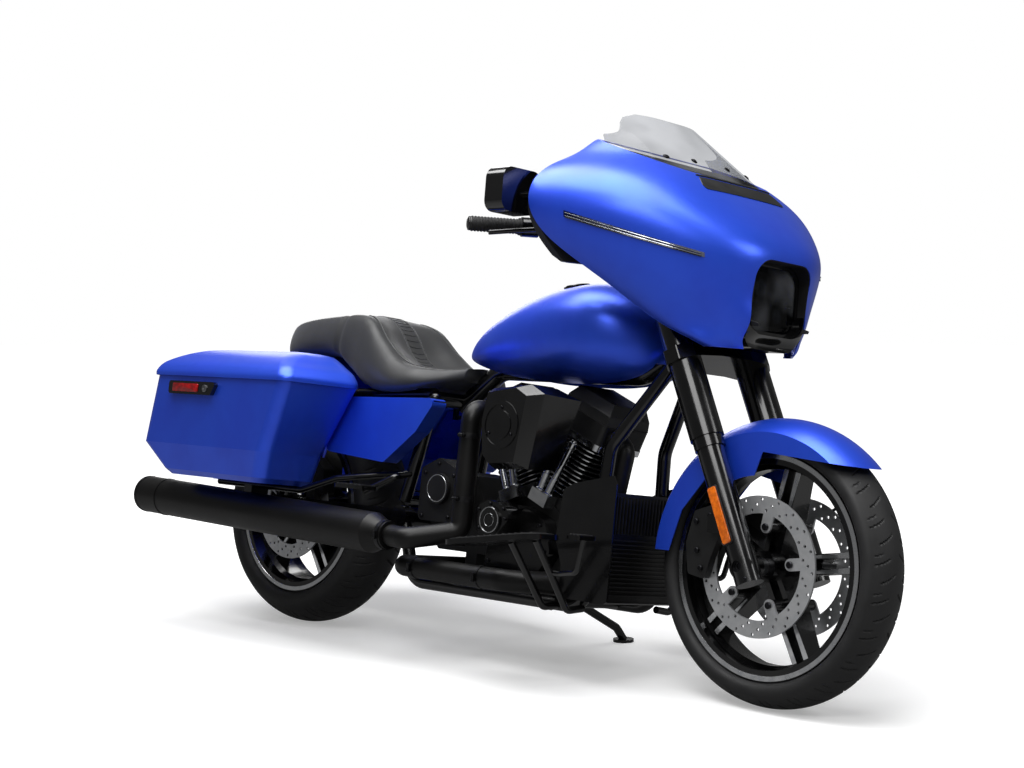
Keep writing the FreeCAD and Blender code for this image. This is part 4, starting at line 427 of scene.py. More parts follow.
class Draft:
    """A mesh drawn in millimetres, with the machine upright."""

    def __init__(self) -> None:
        """Starts an empty drawing."""
        self.mesh = bmesh.new()

    def skin(self, rings: Sequence[Sequence[Point]], closed: bool = True, capped: bool = True,
             looped: bool = False) -> None:
        """Joins rings of equal length with quads.

        Args:
            rings: the rings, in order.
            closed: whether each ring closes on itself.
            capped: whether the first and last ring are filled.
            looped: whether the last ring joins the first.
        """
        rows = [[self.mesh.verts.new(Vector(p)) for p in ring] for ring in rings]
        count = len(rows[0])
        pairs = list(zip(rows, rows[1:] + rows[:1])) if looped else list(zip(rows, rows[1:]))
        for a, b in pairs:
            for i in range(count if closed else count - 1):
                j = (i + 1) % count
                self.mesh.faces.new((a[i], a[j], b[j], b[i]))
        if capped and closed and not looped:
            self.mesh.faces.new(rows[0][::-1])
            self.mesh.faces.new(rows[-1])

    def tube(self, path: Sequence[Point], radius: float | Sequence[float], sides: int = 12,
             looped: bool = False) -> None:
        """A round tube along a path.

        Args:
            path: the points of its middle line.
            radius: one radius, or one for each point.
            sides: how many flats make it round.
            looped: whether it closes on itself.
        """
        points = [Vector(p) for p in path]
        radii = [radius] * len(points) if isinstance(radius, (int, float)) else list(radius)
        rings, side = [], None
        for i, p in enumerate(points):
            before = points[i - 1] if i or looped else p
            after = points[(i + 1) % len(points)] if i + 1 < len(points) or looped else p
            along = (after - before).normalized()
            if side is None:
                side = along.orthogonal()
            side = (side - along * side.dot(along)).normalized()
            other = along.cross(side)
            rings.append([
                p + radii[i] * (math.cos(a) * side + math.sin(a) * other)
                for a in (FULL_TURN * k / sides for k in range(sides))
            ])
        self.skin(rings, looped=looped)

    def lathe(self, profile: Sequence[Pair], origin: Point, axis: Point, steps: int = 32,
              looped: bool = False) -> None:
        """A turned form.

        Args:
            profile: (distance along the axis, radius) pairs.
            origin: where the axis starts.
            axis: its direction.
            steps: how many flats make it round.
            looped: whether the profile closes on itself.
        """
        origin, axis = Vector(origin), Vector(axis).normalized()
        side = axis.orthogonal().normalized()
        other = axis.cross(side)
        rings = [
            [
                origin + axis * along + max(radius, 0.01) * (math.cos(a) * side + math.sin(a) * other)
                for a in (FULL_TURN * k / steps for k in range(steps))
            ]
            for along, radius in profile
        ]
        self.skin(rings, looped=looped)

    def slab(self, outline: Sequence[Pair], origin: Point, across: Point, upward: Point,
             thick: float, round_off: float = 0.0) -> None:
        """A flat plate with rounded rims.

        Args:
            outline: its (across, up) corners, in order.
            origin: the outline's zero point, on the plate's back.
            across: the outline's first direction.
            upward: the outline's second direction.
            thick: the plate's thickness, away from its back.
            round_off: how far the front's rim is drawn in.
        """
        origin, across, upward = Vector(origin), Vector(across).normalized(), Vector(upward).normalized()
        out = across.cross(upward)
        middle = Vector((sum(u for u, _ in outline), sum(v for _, v in outline))) / len(outline)
        steps = [(0.0, 0.0), (thick, 0.0)]
        if round_off:
            inset = 0.3 * round_off
            steps[1:] = [(thick - round_off, 0.0), (thick - inset, inset), (thick, round_off)]
        rings = []
        for height, drawn_in in steps:
            spots = [Vector(p) + (middle - Vector(p)).normalized() * drawn_in for p in outline]
            rings.append([origin + across * p.x + upward * p.y + out * height for p in spots])
        self.skin(rings)

    def bolt(self, at: Point, along: Point, radius: float, height: float, socket: bool = True) -> None:
        """A screw head standing on a surface.

        Args:
            at: where it stands.
            along: the way it points.
            radius: half its width.
            height: how far it stands proud.
            socket: a round head with a hex socket, or else a hex head.
        """
        if socket:
            self.lathe([(0, radius), (height * 0.8, radius), (height, radius * 0.82), (height, radius * 0.5)],
                       at, along, 14)
            self.lathe([(height * 0.35, radius * 0.5), (height * 1.005, radius * 0.5)], at, along, 6)
        else:
            self.lathe([(0, radius * 1.35), (height * 0.2, radius * 1.35)], at, along, 16)
            self.lathe([(height * 0.2, radius), (height * 0.9, radius), (height, radius * 0.86)], at, along, 6)

    def mirrored(self) -> None:
        """Adds the mirror image on the machine's other side."""
        drawn = self.mesh.verts[:] + self.mesh.edges[:] + self.mesh.faces[:]
        copied = bmesh.ops.duplicate(self.mesh, geom=drawn)["geom"]
        verts = [g for g in copied if isinstance(g, bmesh.types.BMVert)]
        faces = [g for g in copied if isinstance(g, bmesh.types.BMFace)]
        for vert in verts:
            vert.co.y = -vert.co.y
        bmesh.ops.reverse_faces(self.mesh, faces=faces)

    def piece(self, name: str, body: Body, finish: Finish, angle_deg: float = SMOOTH_DEG) -> bpy.types.Object:
        """Turns the drawing into a piece that rides on a body.

        Args:
            name: the piece's name.
            body: the body that carries it.
            finish: what it is made of.
            angle_deg: the largest angle between faces that is shaded smooth.

        Returns:
            The piece.
        """
        bmesh.ops.recalc_face_normals(self.mesh, faces=self.mesh.faces[:])
        data = bpy.data.meshes.new(name)
        self.mesh.to_mesh(data)
        self.mesh.free()
        data.transform(STANCE.matrix(body.steered()))
        obj = bpy.data.objects.new(name, data)
        bpy.context.scene.collection.objects.link(obj)
        data.materials.append(finish.make())
        shade(obj, angle_deg)
        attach(obj, body.value)
        LOG.info("%s: %d faces on %s", name, len(data.polygons), body.value)
        return obj


# The studio


@dataclass(frozen=True)
class Studio:
    """A pale floor, soft lamps and the camera of the photograph, in metres."""

    camera_at: Triple = (3.18459, -3.38558, 0.92204)
    yaw_deg: float = 132.757
    pitch_deg: float = -2.6525
    lens_mm: float = 62.153
    film_mm: float = 36.0
    shift: Pair = (-0.0353, -0.0007)
    floor_half: float = 30.0
    floor_glow: float = 0.34
    glow_rise: Pair = (1.2, 3.6)
    mirrored_share: float = 0.2
    floor_bounce: float = 0.22
    floor_white: float = 0.8
    sky_light: float = 0.14
    lamps: tuple[tuple[str, Point, Point, Pair, float], ...] = (
        ("overhead_softbox", (0.0, -0.7, 3.4), (0.1, -0.1, 0.5), (4.2, 2.4), 190.0),
        ("key_softbox", (2.2, -3.2, 3.4), (0.0, 0.0, 0.7), (2.4, 1.2), 52.0),
        ("front_strip", (3.8, 0.8, 2.6), (0.6, 0.0, 0.7), (1.2, 1.4), 26.0),
        ("back_strip", (-3.2, 2.6, 2.2), (-0.2, 0.0, 0.6), (2.4, 1.2), 30.0),
    )

    def build(self) -> None:
        """Makes the camera, the floor, the world and the lamps."""
        self.camera()
        self.floor()
        self.world()
        for name, at, towards, size, watts in self.lamps:
            self.lamp(name, at, towards, size, watts)

    def camera(self) -> None:
        """The camera, from the photograph's perspective."""
        data = bpy.data.cameras.new("photo_camera")
        data.lens, data.sensor_width = self.lens_mm, self.film_mm
        data.shift_x, data.shift_y = self.shift
        data.clip_end = 2 * self.floor_half
        cam = bpy.data.objects.new("photo_camera", data)
        yaw, pitch = math.radians(self.yaw_deg), math.radians(self.pitch_deg)
        look = Vector((math.cos(yaw) * math.cos(pitch), math.sin(yaw) * math.cos(pitch), math.sin(pitch)))
        cam.location = self.camera_at
        cam.rotation_mode = "QUATERNION"
        cam.rotation_quaternion = look.to_track_quat("-Z", "Y")
        bpy.context.scene.collection.objects.link(cam)
        bpy.context.scene.camera = cam

    def floor(self) -> None:
        """A white floor that keeps the soft shadow."""
        mesh = bpy.data.meshes.new("studio_floor")
        half = self.floor_half
        corners = [(-half, -half, 0), (half, -half, 0), (half, half, 0), (-half, half, 0)]
        mesh.from_pydata(corners, [], [(0, 1, 2, 3)])
        floor = bpy.data.objects.new("studio_floor", mesh)
        bpy.context.scene.collection.objects.link(floor)
        material = bpy.data.materials.new("white_floor_paper")
        material.use_nodes = True
        tree = material.node_tree
        tree.nodes.clear()
        ray = add_node(tree, "ShaderNodeLightPath").outputs
        seen = maths(tree, "MULTIPLY_ADD", ray["Is Glossy Ray"], self.mirrored_share, ray["Is Camera Ray"])
        seen = maths(tree, "MAXIMUM", seen, ray["Is Transmission Ray"])
        place = add_node(tree, "ShaderNodeNewGeometry").outputs["Position"]
        away = add_node(tree, "ShaderNodeVectorMath", {0: place}, operation="LENGTH").outputs["Value"]
        level = spread(tree, away, self.glow_rise, (self.floor_glow, 1.0), "SMOOTHSTEP")
        glow = maths(tree, "MULTIPLY", seen, level)
        shine = add_node(tree, "ShaderNodeEmission", {"Color": (1, 1, 1, 1), "Strength": glow}).outputs[0]
        grey = spread(tree, ray["Is Camera Ray"], (0, 1), (self.floor_bounce, self.floor_white))
        paper = add_node(tree, "ShaderNodeBsdfDiffuse", {"Color": grey}).outputs[0]
        both = add_node(tree, "ShaderNodeAddShader", {0: shine, 1: paper}).outputs[0]
        add_node(tree, "ShaderNodeOutputMaterial", {"Surface": both})
        mesh.materials.append(material)

    def world(self) -> None:
        """White to the camera, and a weak light on the machine."""
        world = bpy.data.worlds.new("studio")
        bpy.context.scene.world = world
        world.use_nodes = True
        tree = world.node_tree
        tree.nodes.clear()
        ray = add_node(tree, "ShaderNodeLightPath").outputs
        seen = maths(tree, "MAXIMUM", ray["Is Camera Ray"], ray["Is Transmission Ray"])
        level = spread(tree, seen, (0, 1), (self.sky_light, 1.0))
        shine = add_node(tree, "ShaderNodeBackground", {"Color": (1, 1, 1, 1), "Strength": level}).outputs[0]
        add_node(tree, "ShaderNodeOutputWorld", {"Surface": shine})

    def lamp(self, name: str, at: Point, towards: Point, size: Pair, watts: float) -> None:
        """A rectangular softbox.

        Args:
            name: the lamp's name.
            at: where it stands.
            towards: the point it lights.
            size: its width and height.
            watts: its power.
        """
        data = bpy.data.lights.new(name, "AREA")
        data.shape, data.size, data.size_y, data.energy = "RECTANGLE", size[0], size[1], watts
        lamp = bpy.data.objects.new(name, data)
        lamp.location = at
        lamp.rotation_mode = "QUATERNION"
        lamp.rotation_quaternion = (Vector(towards) - Vector(at)).to_track_quat("-Z", "Y")
        bpy.context.scene.collection.objects.link(lamp)


# Wheels


@dataclass(frozen=True)
class Wheel:
    """A tyre with its tread, and the bright parts of the rim."""

    label: str
    body: Body
    axle: Pair
    radius: float
    width: float
    crown: float
    lip: float
    rim_width: float
    blade_foot: float
    blades: int = 5
    blade_start_deg: float = 8.0
    blade_spread: float = 17.0
    blade_widths: tuple[Pair, ...] = ((0.34, 1.5), (0.5, 3.2), (0.72, 5.4), (0.9, 6.4), (0.985, 6.5))
    hub_reach: float = 30.0
    rim_face: float = 26.0
    valve_deg: float = 44.0
    tread_share: float = 0.44
    tread_steps: int = 29
    groove_pitch: float = 88.0
    groove_half: float = 2.3
    groove_depth: float = 4.0
    grooves: tuple[tuple[float, float, float, float], ...] = (
        (0.0, 0.10, 0.78, 1.0), (0.5, 0.34, 0.99, 0.9), (0.27, 0.62, 0.98, 0.7),
    )
    groove_slant: float = 0.95
    groove_bend: float = 0.42
    turns: int = 720

    def build(self) -> None:
        """Makes the treaded tyre, the rim's cut faces and the valve."""
        self.tyre()
        self.cut_faces()
        self.valve()

    def outline(self) -> list[tuple[float, float, bool]]:
        """The tyre's cross-section.

        Returns:
            (y, radius, whether it is tread) from the left bead over the crown to the right bead.
        """
        bead = self.rim_width / 2 - 6.3
        shoulder = self.tread_share * self.width
        drop = self.crown - math.sqrt(self.crown**2 - shoulder**2)
        shoulder_r = self.radius - drop
        wall_r = self.lip + 0.35 * (shoulder_r - self.lip)
        wall = arc_through((bead, self.lip + 2.0), (self.width / 2, wall_r), (shoulder, shoulder_r), 12)
        half_angle = math.asin(shoulder / self.crown)
        crown = []
        for i in range(self.tread_steps + 1):
            angle = half_angle * (1 - i / self.tread_steps)
            fall = self.crown * (1 - math.cos(angle))
            crown.append((self.crown * math.sin(angle), self.radius - fall, True))
        half = [(bead, self.lip - 16.6, False), (bead, self.lip - 6, False)]
        half += [(y, r, False) for y, r in wall[:-1]] + crown
        return half + [(-y, r, t) for y, r, t in half[-2::-1]]

    def groove(self, y: float, run: float) -> float:
        """How deep the tread is cut at a spot.

        Args:
            y: the distance from the tyre's middle.
            run: the distance round the tread.

        Returns:
            The depth of the groove there, or 0.
        """
        side = 1 if y > 0 else -1
        reach = abs(y) / (self.tread_share * self.width)
        depth = 0.0
        for phase, start, end, share in self.grooves:
            if not start < reach < end:
                continue
            shift = (phase + (0.5 if side < 0 else 0.0)) * self.groove_pitch
            line = self.groove_slant * abs(y) * (1 - self.groove_bend * reach)
            off = (run - shift - line + self.groove_pitch / 2) % self.groove_pitch - self.groove_pitch / 2
            ends = min(1.0, (reach - start) / 0.06, (end - reach) / 0.06)
            width = self.groove_half * (0.55 + 0.45 * ends)
            if abs(off) < width:
                wall = min(1.0, (width - abs(off)) / 0.9)
                depth = max(depth, self.groove_depth * share * wall * max(0.2, ends))
        return depth

    def cut_faces(self) -> None:
        """The bright cuts on the rim: both lips, and a line along each of the five pairs of blades."""
        draft = Draft()
        half, seat = self.rim_width / 2, self.lip - 17.0
        x0, z0 = self.axle
        for side in (-1, 1):
            lip = ring_band(half, 0.6, seat + 4, self.lip - 0.6)
            draft.lathe(lip, (x0, 0, z0), (0, side, 0), 120, looped=True)
            for k in range(self.blades):
                middle = math.radians(self.blade_start_deg + 360 / self.blades * k)
                radial = Vector((math.cos(middle), 0, math.sin(middle)))
                across = Vector((-radial.z, 0, radial.x))
                for blade in (-1, 1):
                    rings = []
                    for share, wide in self.blade_widths:
                        reach = self.hub_reach + (seat - 14 - self.hub_reach) * share
                        face = self.blade_foot + (self.rim_face - self.blade_foot) * share
                        spot = Vector((x0, side * face, z0)) + radial * reach
                        spot += across * (self.blade_spread * blade)
                        out = Vector((0, side * 0.7, 0))
                        rings.append([spot - across * wide - out, spot - across * wide + out,
                                      spot + across * wide + out, spot + across * wide - out])
                    draft.skin(rings)
        draft.piece(f"{self.label}_rim_cuts", self.body, CUT_ALUMINIUM)

    def disc_places(self, radius: float, y: float) -> list[Vector]:
        """Where the disc's screws stand, one in line with each pair of blades.

        Args:
            radius: their distance from the axle.
            y: their place across the wheel.

        Returns:
            The places.
        """
        x, z = self.axle
        angles = [math.radians(self.blade_start_deg + 360 / self.blades * k) for k in range(self.blades)]
        return [Vector((x + radius * math.cos(a), y, z + radius * math.sin(a))) for a in angles]

    def valve(self) -> None:
        """The tyre's valve, on the rim's inner face."""
        draft = Draft()
        angle = math.radians(self.valve_deg)
        radial = Vector((math.cos(angle), 0, math.sin(angle)))
        foot = Vector((self.axle[0], 0, self.axle[1])) + radial * (self.lip - 34)
        draft.tube([foot, foot - radial * 8, foot - radial * 22 - LEFT * 10], [5, 4, 3.4], 12)
        draft.piece(f"{self.label}_valve", self.body, SOFT_RUBBER)

    def tyre(self) -> None:
        """The tyre, its grooves cut into a fine grid."""
        outline = self.outline()
        x0, z0 = self.axle
        pitches = round(FULL_TURN * self.radius / self.groove_pitch)
        run_scale = pitches * self.groove_pitch / FULL_TURN
        rings = []
        for k in range(self.turns):
            angle = FULL_TURN * k / self.turns
            sine, cosine = math.sin(angle), math.cos(angle)
            ring = []
            for y, radius, tread in outline:
                r = radius - (self.groove(y, angle * run_scale) if tread else 0.0)
                ring.append((x0 + r * sine, y, z0 + r * cosine))
            rings.append(ring)
        draft = Draft()
        draft.skin(rings, looped=True)
        tyre = draft.piece(f"{self.label}_treaded_tyre", self.body, TYRE_RUBBER, 28)
        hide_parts(f"{self.label}_tyre")


def arc_through(a: Pair, b: Pair, c: Pair,
                steps: int) -> list[Pair]:
    """Points on the circular arc through three points.

    Args:
        a: the first end.
        b: a point between.
        c: the other end.
        steps: how many parts the arc has.

    Returns:
        The points, both ends among them.
    """
    d = 2 * (a[0] * (b[1] - c[1]) + b[0] * (c[1] - a[1]) + c[0] * (a[1] - b[1]))
    sa, sb, sc = (p[0] ** 2 + p[1] ** 2 for p in (a, b, c))
    ux = (sa * (b[1] - c[1]) + sb * (c[1] - a[1]) + sc * (a[1] - b[1])) / d
    uy = (sa * (c[0] - b[0]) + sb * (a[0] - c[0]) + sc * (b[0] - a[0])) / d
    radius = math.hypot(a[0] - ux, a[1] - uy)
    t0, t1, t2 = (math.atan2(p[1] - uy, p[0] - ux) for p in (a, b, c))
    sweep = (t2 - t0) % FULL_TURN
    if (t1 - t0) % FULL_TURN > sweep:
        sweep -= FULL_TURN
    return [
        (ux + radius * math.cos(t0 + sweep * i / steps), uy + radius * math.sin(t0 + sweep * i / steps))
        for i in range(steps + 1)
    ]


def spline(points: Sequence[Sequence[float]], steps: int, closed: bool = False) -> list[tuple[float, ...]]:
    """A smooth curve through points of any dimension.

    Args:
        points: the points, in order.
        steps: how many parts each span has.
        closed: whether the curve returns to its start.

    Returns:
        The curve's points.
    """
    count, curve = len(points), []
    for i in range(count if closed else count - 1):
        places = (i - 1, i, i + 1, i + 2)
        a, b, c, d = (points[k % count if closed else min(max(k, 0), count - 1)] for k in places)
        for step in range(steps):
            t = step / steps
            curve.append(tuple(
                0.5 * (2 * q + (r - p) * t + (2 * p - 5 * q + 4 * r - s) * t * t
                       + (3 * q - p - 3 * r + s) * t**3)
                for p, q, r, s in zip(a, b, c, d)
            ))
    if not closed:
        curve.append(tuple(points[-1]))
    return curve


def rounded(half_w: float, half_h: float, radius: float, steps: int = 6) -> list[Pair]:
    """The outline of a rectangle with round corners, about its middle.

    Args:
        half_w: half its width.
        half_h: half its height.
        radius: the corners' radius.
        steps: how many parts each corner has.

    Returns:
        Its (across, up) points, anticlockwise.
    """
    outline = []
    for turn, (u, v) in enumerate(((1, 1), (-1, 1), (-1, -1), (1, -1))):
        for i in range(steps + 1):
            angle = math.pi / 2 * (turn + i / steps)
            across, up = radius * math.cos(angle), radius * math.sin(angle)
            outline.append((u * (half_w - radius) + across, v * (half_h - radius) + up))
    return outline


def ring_band(half_w: float, thick: float, inner: float, outer: float) -> list[Pair]:
    """The profile of a flat turned band that stands on a face.

    Args:
        half_w: how far out the face is.
        thick: how far the band stands proud.
        inner: its inner radius.
        outer: its outer radius.

    Returns:
        (along, radius) pairs, to be lathed as a loop.
    """
    foot, top = half_w - 0.6, half_w + thick
    return [(foot, inner), (top, inner + 0.8), (top, outer - 0.8), (foot, outer)]


class Surface:
    """A node of the frame, on which a point can be found in the upright drawing."""

    def __init__(self, node: bpy.types.Object, steered: bool) -> None:
        """Reads the node's mesh.

        Args:
            node: the frame's object.
            steered: whether it turns with the bars.
        """
        back = STANCE.matrix(steered).inverted() @ node.matrix_world
        corners = [back @ v.co for v in node.data.vertices]
        self.tree = BVHTree.FromPolygons(corners, [list(p.vertices) for p in node.data.polygons])

    def hit(self, start: Point, towards: Point) -> tuple[Vector, Vector]:
        """Where a straight line first meets the surface.

        Args:
            start: the line's start.
            towards: its direction.

        Returns:
            The point and the outward direction there, or the start itself where it meets nothing.
        """
        towards = Vector(towards).normalized()
        spot, normal, _, _ = self.tree.ray_cast(Vector(start), towards)
        if spot is None:
            LOG.warning("no surface from %s", tuple(start))
            return Vector(start), -towards
        return spot, normal if normal.dot(towards) < 0 else -normal

    def line(self, starts: Iterable[Point], towards: Point, lift: float = 0.0) -> list[Vector]:
        """A line laid on the surface.

        Args:
            starts: where each point's straight line starts.
            towards: the direction of all of them.
            lift: how far the line stands off.

        Returns:
            The points on the surface.
        """
        found = []
        for start in starts:
            spot, normal = self.hit(start, towards)
            found.append(spot + normal * lift)
        return found


# Seat


@dataclass(frozen=True)
class Saddle:
    """The two-up seat: padded, with a seam between its places, a welted edge and a stitched middle panel."""

    stations: tuple[tuple[float, ...], ...] = (
        (-121, 44, 752, 802, 798), (-104, 77, 753, 828, 822), (-58, 111, 755, 856, 848),
        (28, 135, 760, 872, 862), (160, 151, 756, 882, 872), (250, 157, 704, 880, 876),
        (310, 167, 668, 842, 856), (375, 177, 654, 764, 800), (455, 183, 656, 728, 748),
        (530, 171, 668, 724, 734), (590, 121, 690, 732, 734), (625, 71, 706, 746, 742),
    )
    span_steps: int = 9
    seam_at: float = 196.0
    seam_half: float = 9.0
    seam_depth: float = 5.0
    rail_top: float = 682.0
    fender_half: float = 125.0
    fender_round: float = 176.3
    fender_top: float = 389.0
    fender_hub: Pair = (-8.0, 392.5)
    edge_welt: tuple[Pair, ...] = (
        (252, 0.62), (300, 0.66), (350, 0.7), (410, 0.72), (470, 0.7), (530, 0.64), (580, 0.56),
    )
    panel_half: float = 26.0
    panel_end: int = 470
    stitch: float = 5.0

    def build(self) -> None:
        """Makes the cover and its stitching."""
        rings = self.rings()
        draft = Draft()
        draft.skin(rings)
        cover = draft.piece("seat_cover", Body.CHASSIS, GRAINED_VINYL, 60)
        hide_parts("seat")
        self.seams()

    def section(self, station: Sequence[float]) -> list[Vector]:
        """One section across the seat.

        Args:
            station: x, half width, underside, middle of the top, top edge.

        Returns:
            Its points, round the section.
        """
        x, w, low, middle, edge = station
        half = [
            (w * 0.6, low), (w * 0.95, low + 0.16 * (edge - low)), (w, low + 0.5 * (edge - low)),
            (w * 0.86, edge - 0.06 * (edge - low)), (w * 0.62, edge), (w * 0.3, (edge + 2 * middle) / 3),
        ]
        corners = [(0.0, low), *half, (0.0, middle), *((-y, z) for y, z in half[::-1])]
        return [Vector((x, y, z)) for y, z in spline(corners, 6, closed=True)]

    def rings(self) -> list[list[Vector]]:
        """All sections, with the seam's groove and the cut-away underside.

        Returns:
            The rings, from the rear to the nose.
        """
        rings = []
        for station in spline(self.stations, self.span_steps):
            ring = self.section(station)
            near = max(0.0, 1 - abs(station[0] - self.seam_at) / self.seam_half)
            middle = Vector((station[0], 0, (station[2] + station[3]) / 2))
            ring = [p + (middle - p).normalized() * self.seam_depth * near**0.5 for p in ring]
            rings.append([self.cleared(p) for p in ring])
        return rings

    def cleared(self, point: Vector) -> Vector:
        """Lifts a point of the underside off the fender and the frame's rails.

        Args:
            point: a point of the cover.

        Returns:
            The point, or the nearest one above what lies under it.
        """
        z = point.z
        if point.x > 60 and abs(point.y) < 150:
            z = max(z, self.rail_top)
        if abs(point.y) < self.fender_half and point.x < 300:
            radius = self.fender_top - self.fender_round + math.sqrt(self.fender_round**2 - point.y**2)
            across = radius**2 - (point.x - self.fender_hub[0]) ** 2
            z = max(z, self.fender_hub[1] + math.sqrt(max(0.0, across)))
        return Vector((point.x, point.y, z))

    def top(self, x: float, y: float) -> Vector:
        """The cover's top, seen from above.

        Args:
            x: the place along the seat.
            y: the place across it.

        Returns:
            The point on top.
        """
        stations = spline(self.stations, self.span_steps)
        nearest = sorted(stations, key=lambda s: abs(s[0] - x))[:2]
        a, b = sorted(nearest, key=lambda s: s[0])
        share = 0.0 if a[0] == b[0] else min(1.0, max(0.0, (x - a[0]) / (b[0] - a[0])))
        heights = []
        for station in (a, b):
            ring = [p for p in self.section(station) if p.z > (station[2] + station[4]) / 2]
            ring.sort(key=lambda p: abs(p.y - y))
            p, q = ring[:2]
            part = 0.0 if p.y == q.y else (y - p.y) / (q.y - p.y)
            heights.append(p.z + (q.z - p.z) * part)
        return Vector((x, y, heights[0] + (heights[1] - heights[0]) * share))

    def seams(self) -> None:
        """The welt round the rider's place, the panel's piping and the thread."""
        welts, thread = Draft(), Draft()
        for side in (-1, 1):
            edge = spline(self.edge_welt, 5)
            welts.tube([self.top(x, side * share * self.width(x)) + UP * 0.4 for x, share in edge], 1.9, 8)
            panel = [self.top(x, side * self.panel_half) + UP * 0.3 for x in range(206, self.panel_end, 6)]
            welts.tube(panel, 1.5, 8)
            for a, b in zip(panel, panel[1:]):
                offset = LEFT * side * self.stitch
                thread.tube([a + offset, a + offset + (b - a) * 0.6], 0.75, 6)
        for x in range(214, self.panel_end, 13):
            welts.tube([self.top(x, y) + UP * 0.1 for y in range(-24, 25, 8)], 1.1, 6)
        welts.piece("seat_piping", Body.CHASSIS, GRAINED_VINYL)
        thread.piece("seat_thread", Body.CHASSIS, THREAD)

    def width(self, x: float) -> float:
        """The half width of the seat at a place along it."""
        return min(spline(self.stations, self.span_steps), key=lambda s: abs(s[0] - x))[1]


# Luggage


@dataclass(frozen=True)
class Luggage:
    """The hard bags' softly domed lids, which open outwards, with their side lamps and catches."""

    inner_y: float = 214.0
    outer_y: float = 442.0
    wall: float = 4.0
    lamp_z: float = 628.0
    lamp_proud: float = 12.0
    catch_z: float = 682.0
    catch_places: Pair = (-150.0, 250.0)
    lid_levels: tuple[tuple[float, ...], ...] = (
        (660.6, -270.0, 336.0, 398.0, 448.0, 36.0), (674.6, -272.0, 336.0, 398.0, 446.0, 36.0),
        (696.6, -262.0, 322.0, 382.0, 432.0, 38.0), (714.6, -238.0, 298.0, 352.0, 408.0, 40.0),
        (730.6, -206.0, 280.0, 326.0, 379.0, 44.0), (742.6, -168.0, 262.0, 300.0, 346.0, 46.0),
        (748.2, -110.0, 232.0, 262.0, 314.0, 46.0),
    )

    def build(self) -> None:
        """Makes both lids, their catches and the lamps."""
        for side, body, label in ((-1, Body.LID_RIGHT, "right"), (1, Body.LID_LEFT, "left")):
            self.lid(side, body, label)
        self.side_lamps()
        for side, body, label in ((-1, Body.LID_RIGHT, "right"), (1, Body.LID_LEFT, "left")):
            self.catches(side, body, label)

    def ring(self, level: Sequence[float], side: int, inset: float) -> list[Vector]:
        """One section round a bag.

        Args:
            level: height, rear x, front x outside, front x inside, outer y, corner radius.
            side: -1 on the right, 1 on the left.
            inset: how far inside the outer face.

        Returns:
            The section's points.
        """
        z, rear, front, front_in, outer, radius = level
        corners = [
            Vector((rear + inset, self.inner_y + inset)), Vector((front_in - inset, self.inner_y + inset)),
            Vector((front - inset, outer - inset)), Vector((rear + 26 + inset, outer - inset)),
        ]
        points = []
        for i, corner in enumerate(corners):
            before = (corners[i - 1] - corner).normalized()
            after = (corners[(i + 1) % 4] - corner).normalized()
            half = before.angle(after) / 2
            soft = max(2.0, radius - inset)
            centre = corner + (before + after).normalized() * soft / math.sin(half)
            start = corner + before * (soft / math.tan(half)) - centre
            end = corner + after * (soft / math.tan(half)) - centre
            for k in range(11):
                spoke = start.lerp(end, k / 10).normalized() * soft
                points.append(Vector((centre.x + spoke.x, side * (centre.y + spoke.y), z)))
        return points

    def lid(self, side: int, body: Body, label: str) -> None:
        """One hollow lid.

        Args:
            side: -1 on the right, 1 on the left.
            body: the body that carries it.
            label: the side's name.
        """
        levels = spline(self.lid_levels, 5)
        outside = [self.ring(level, side, 0.0) for level in levels]
        inside = [[p - UP * self.wall for p in self.ring(level, side, self.wall)] for level in levels]
        inside = [[Vector((p.x, p.y, max(p.z, levels[0][0]))) for p in ring] for ring in inside]
        outside += self.closing(outside[-1])
        inside += self.closing(inside[-1])
        draft = Draft()
        draft.skin(outside + inside[::-1], looped=True)
        lid = draft.piece(f"bag_lid_{label}_skin", body, SATIN_BLUE, 50)
        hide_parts(f"bag_lid_{label}")

    def closing(self, ring: Sequence[Vector]) -> list[list[Vector]]:
        """Smaller and smaller copies of a ring that close it like a lid's top.

        Args:
            ring: the points round the lid's crown.

        Returns:
            The copies, outermost first.
        """
        middle = sum(ring, Vector()) / len(ring)
        return [[p.lerp(middle, share) for p in ring] for share in (0.2, 0.45, 0.7, 0.9, 0.999)]

    def side_lamps(self) -> None:
        """The red lens and the lock in each housing."""
        lens, lock = Draft(), Draft()
        out = self.outer_y + self.lamp_proud
        lens.slab(rounded(57, 11.5, 4), (-72, -out, self.lamp_z), AHEAD, UP, 3.0, 1.5)
        barrel = [(0, 10), (3.0, 10), (4.0, 8.5), (4.0, 4.0), (2.6, 3.4)]
        lock.lathe(barrel, (16, -out, self.lamp_z), -LEFT, 24)
        lens.mirrored()
        lock.mirrored()
        lens.piece("bag_side_lenses", Body.CHASSIS, RED_ACRYLIC)
        lock.piece("bag_locks", Body.CHASSIS, PLATED_STEEL)

    def catches(self, side: int, body: Body, label: str) -> None:
        """Two black catch plates, low on a lid's inner rim, away from the side on which it turns.

        Args:
            side: -1 on the right, 1 on the left.
            body: the body that carries them.
            label: the side's name.
        """
        draft = Draft()
        for x in self.catch_places:
            plate = (x, side * (self.inner_y - 0.2), self.catch_z)
            draft.slab(rounded(22, 12, 5), plate, AHEAD * side, UP, 2.5, 1.0)
            for dx in (-11, 11):
                screw = (x + dx, side * (self.inner_y - 2.6), self.catch_z + 2)
                draft.bolt(screw, (0, -side, 0), 3.6, 2.2)
        draft.piece(f"bag_hinges_{label}", body, GLOSS_ENAMEL)


# Fairing, lamp and screen


